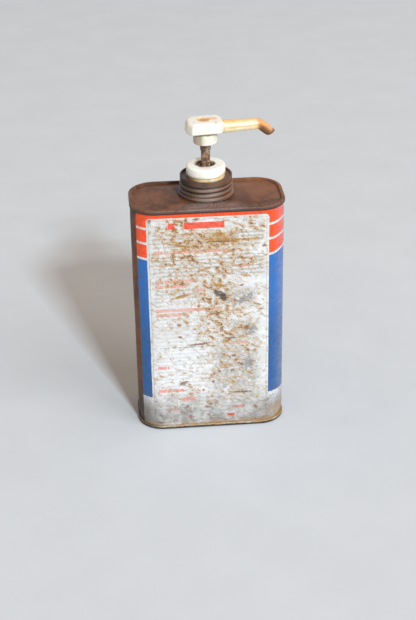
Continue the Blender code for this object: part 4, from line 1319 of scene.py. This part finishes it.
def spoutPaint(s):
    p = Paint("yellowedSpoutPlastic", roughness=0.3, Subsurface_Weight=0.35, Subsurface_Scale=0.003)
    x, _, z = p.split()
    level = (head["foot"] + s["level"]) / mm
    cloud = p.noise(4.5, 4, 0.6, place=p.stretch((2, 1, 1)))
    fine = p.noise(0.9, 4, 0.6)
    p.coat = p.mix(p.step(cloud, 0.36, 0.66), (248, 230, 194), (243, 211, 160))
    ridge = p.step(z, level + 2.8, level + 4.4, 0, 0.8)
    straightPart = p.fall(x, 36, 40)
    p.lay(p.times(ridge, straightPart), (238, 180, 104))
    # painted reflection: a thin darker line along the straight part
    darkReflectionLine = p.abs(p.minus(p.add(z, p.times(cloud, 0.8)), level + 0.6))
    p.lay(p.times(p.fall(darkReflectionLine, 0.25, 0.7, 0.5), straightPart), (186, 128, 76))
    bent = p.step(p.add(x, p.times(cloud, 4)), 37, 43, 0, 0.8)
    p.lay(bent, (222, 148, 74))
    # darker brown on the drop's lower side
    lowSide = p.fall(p.add(z, p.times(x, 0.81), p.times(cloud, 5)), 276.2, 281.4, 0.92)
    darkLowerSide = p.times(lowSide, p.step(x, 38, 42))
    p.lay(darkLowerSide, (104, 68, 42))
    lip = p.step(p.add(x, p.times(z, -0.62)), -97.6, -96, 0, 0.85)
    p.lay(lip, (120, 78, 48))
    p.rough(p.step(fine, 0.3, 0.7, 0.24, 0.42))
    p.bump(p.add(fine, cloud), 0.04, 0.4)
    return p.done()


makeHead(head, headPaint(head))
makeSkirt(skirt, skirtPaint(skirt))
makeSpout(spout, spoutPaint(spout))
print("head, skirt and spout made")


# Finishes for the inner pieces that stay as they are

def innerPaint(name, first, second, roughness, metallic=0, size=3):
    p = Paint(name, roughness=roughness, Metallic=metallic)
    cloud = p.noise(size, 4, 0.6)
    p.coat = p.mix(p.step(cloud, 0.35, 0.65), first, second)
    p.rough(p.step(cloud, 0.3, 0.7, roughness - 0.08, roughness + 0.1))
    p.bump(cloud, 0.03, 0.4)
    return p.done()


spring = {
    "curls": 8,
    "curlSteps": 32,
    "wireSteps": 10,
    **lengths(wire=0.6, radius=5.6, travel=16.2),
}


def makeSpring(s, paint):  # a coiled wire from the spring's foot to its top, on a mesh of its own
    low, high = footOf("return_spring"), topOf("return_spring")
    count = s["curls"] * s["curlSteps"]
    climb = (high - low - 2 * s["wire"]) / count
    lean = math.atan2(climb * s["curlSteps"], fullTurn * s["radius"])
    rings = []
    for k in range(count + 1):
        turn = Matrix.Rotation(fullTurn * k / s["curlSteps"], 3, "Z")
        ring = []
        for x, y, _ in circle(s["wire"], 0, s["wireSteps"]):
            ring.append(turn @ Vector((s["radius"] + x, -y * math.sin(lean), y * math.cos(lean))))
        rings.append([point + Vector((0, 0, low + s["wire"] + climb * k)) for point in ring])
    item = seat(skin("returnSpring", rings, False), paint, "pump_unit", ["return_spring"])
    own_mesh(item)


innerFinishes = {  # nodes, two colours, roughness and metal
    "dullTinplate": (["can_neck"], (120, 104, 92), (150, 140, 130), 0.45, 0.7),
    "oilProofRubber": (["flange_gasket", "rod_seal", "head_seal", "piston_cup"], (34, 33, 32), (48, 46, 44), 0.6),
    "naturalPlastic": (["ball_cage", "piston"], (206, 196, 168), (186, 168, 128), 0.4),
    "oiledTube": (["dip_tube"], (222, 212, 178), (200, 180, 128), 0.3),
    "polishedSteel": (["inlet_ball", "outlet_ball", "cup_washer"], (186, 186, 186), (204, 202, 198), 0.18, 1),
}
for finish, (nodes, *look) in innerFinishes.items():
    material = innerPaint(finish, *look)
    for node in nodes:
        item = frame["nodes"][node]
        item.data.materials.clear()
        item.data.materials.append(material)
makeSpring(spring, innerPaint("drawnWire", (150, 150, 150), (176, 174, 170), 0.3, 1, 1))
print("inner pieces finished")
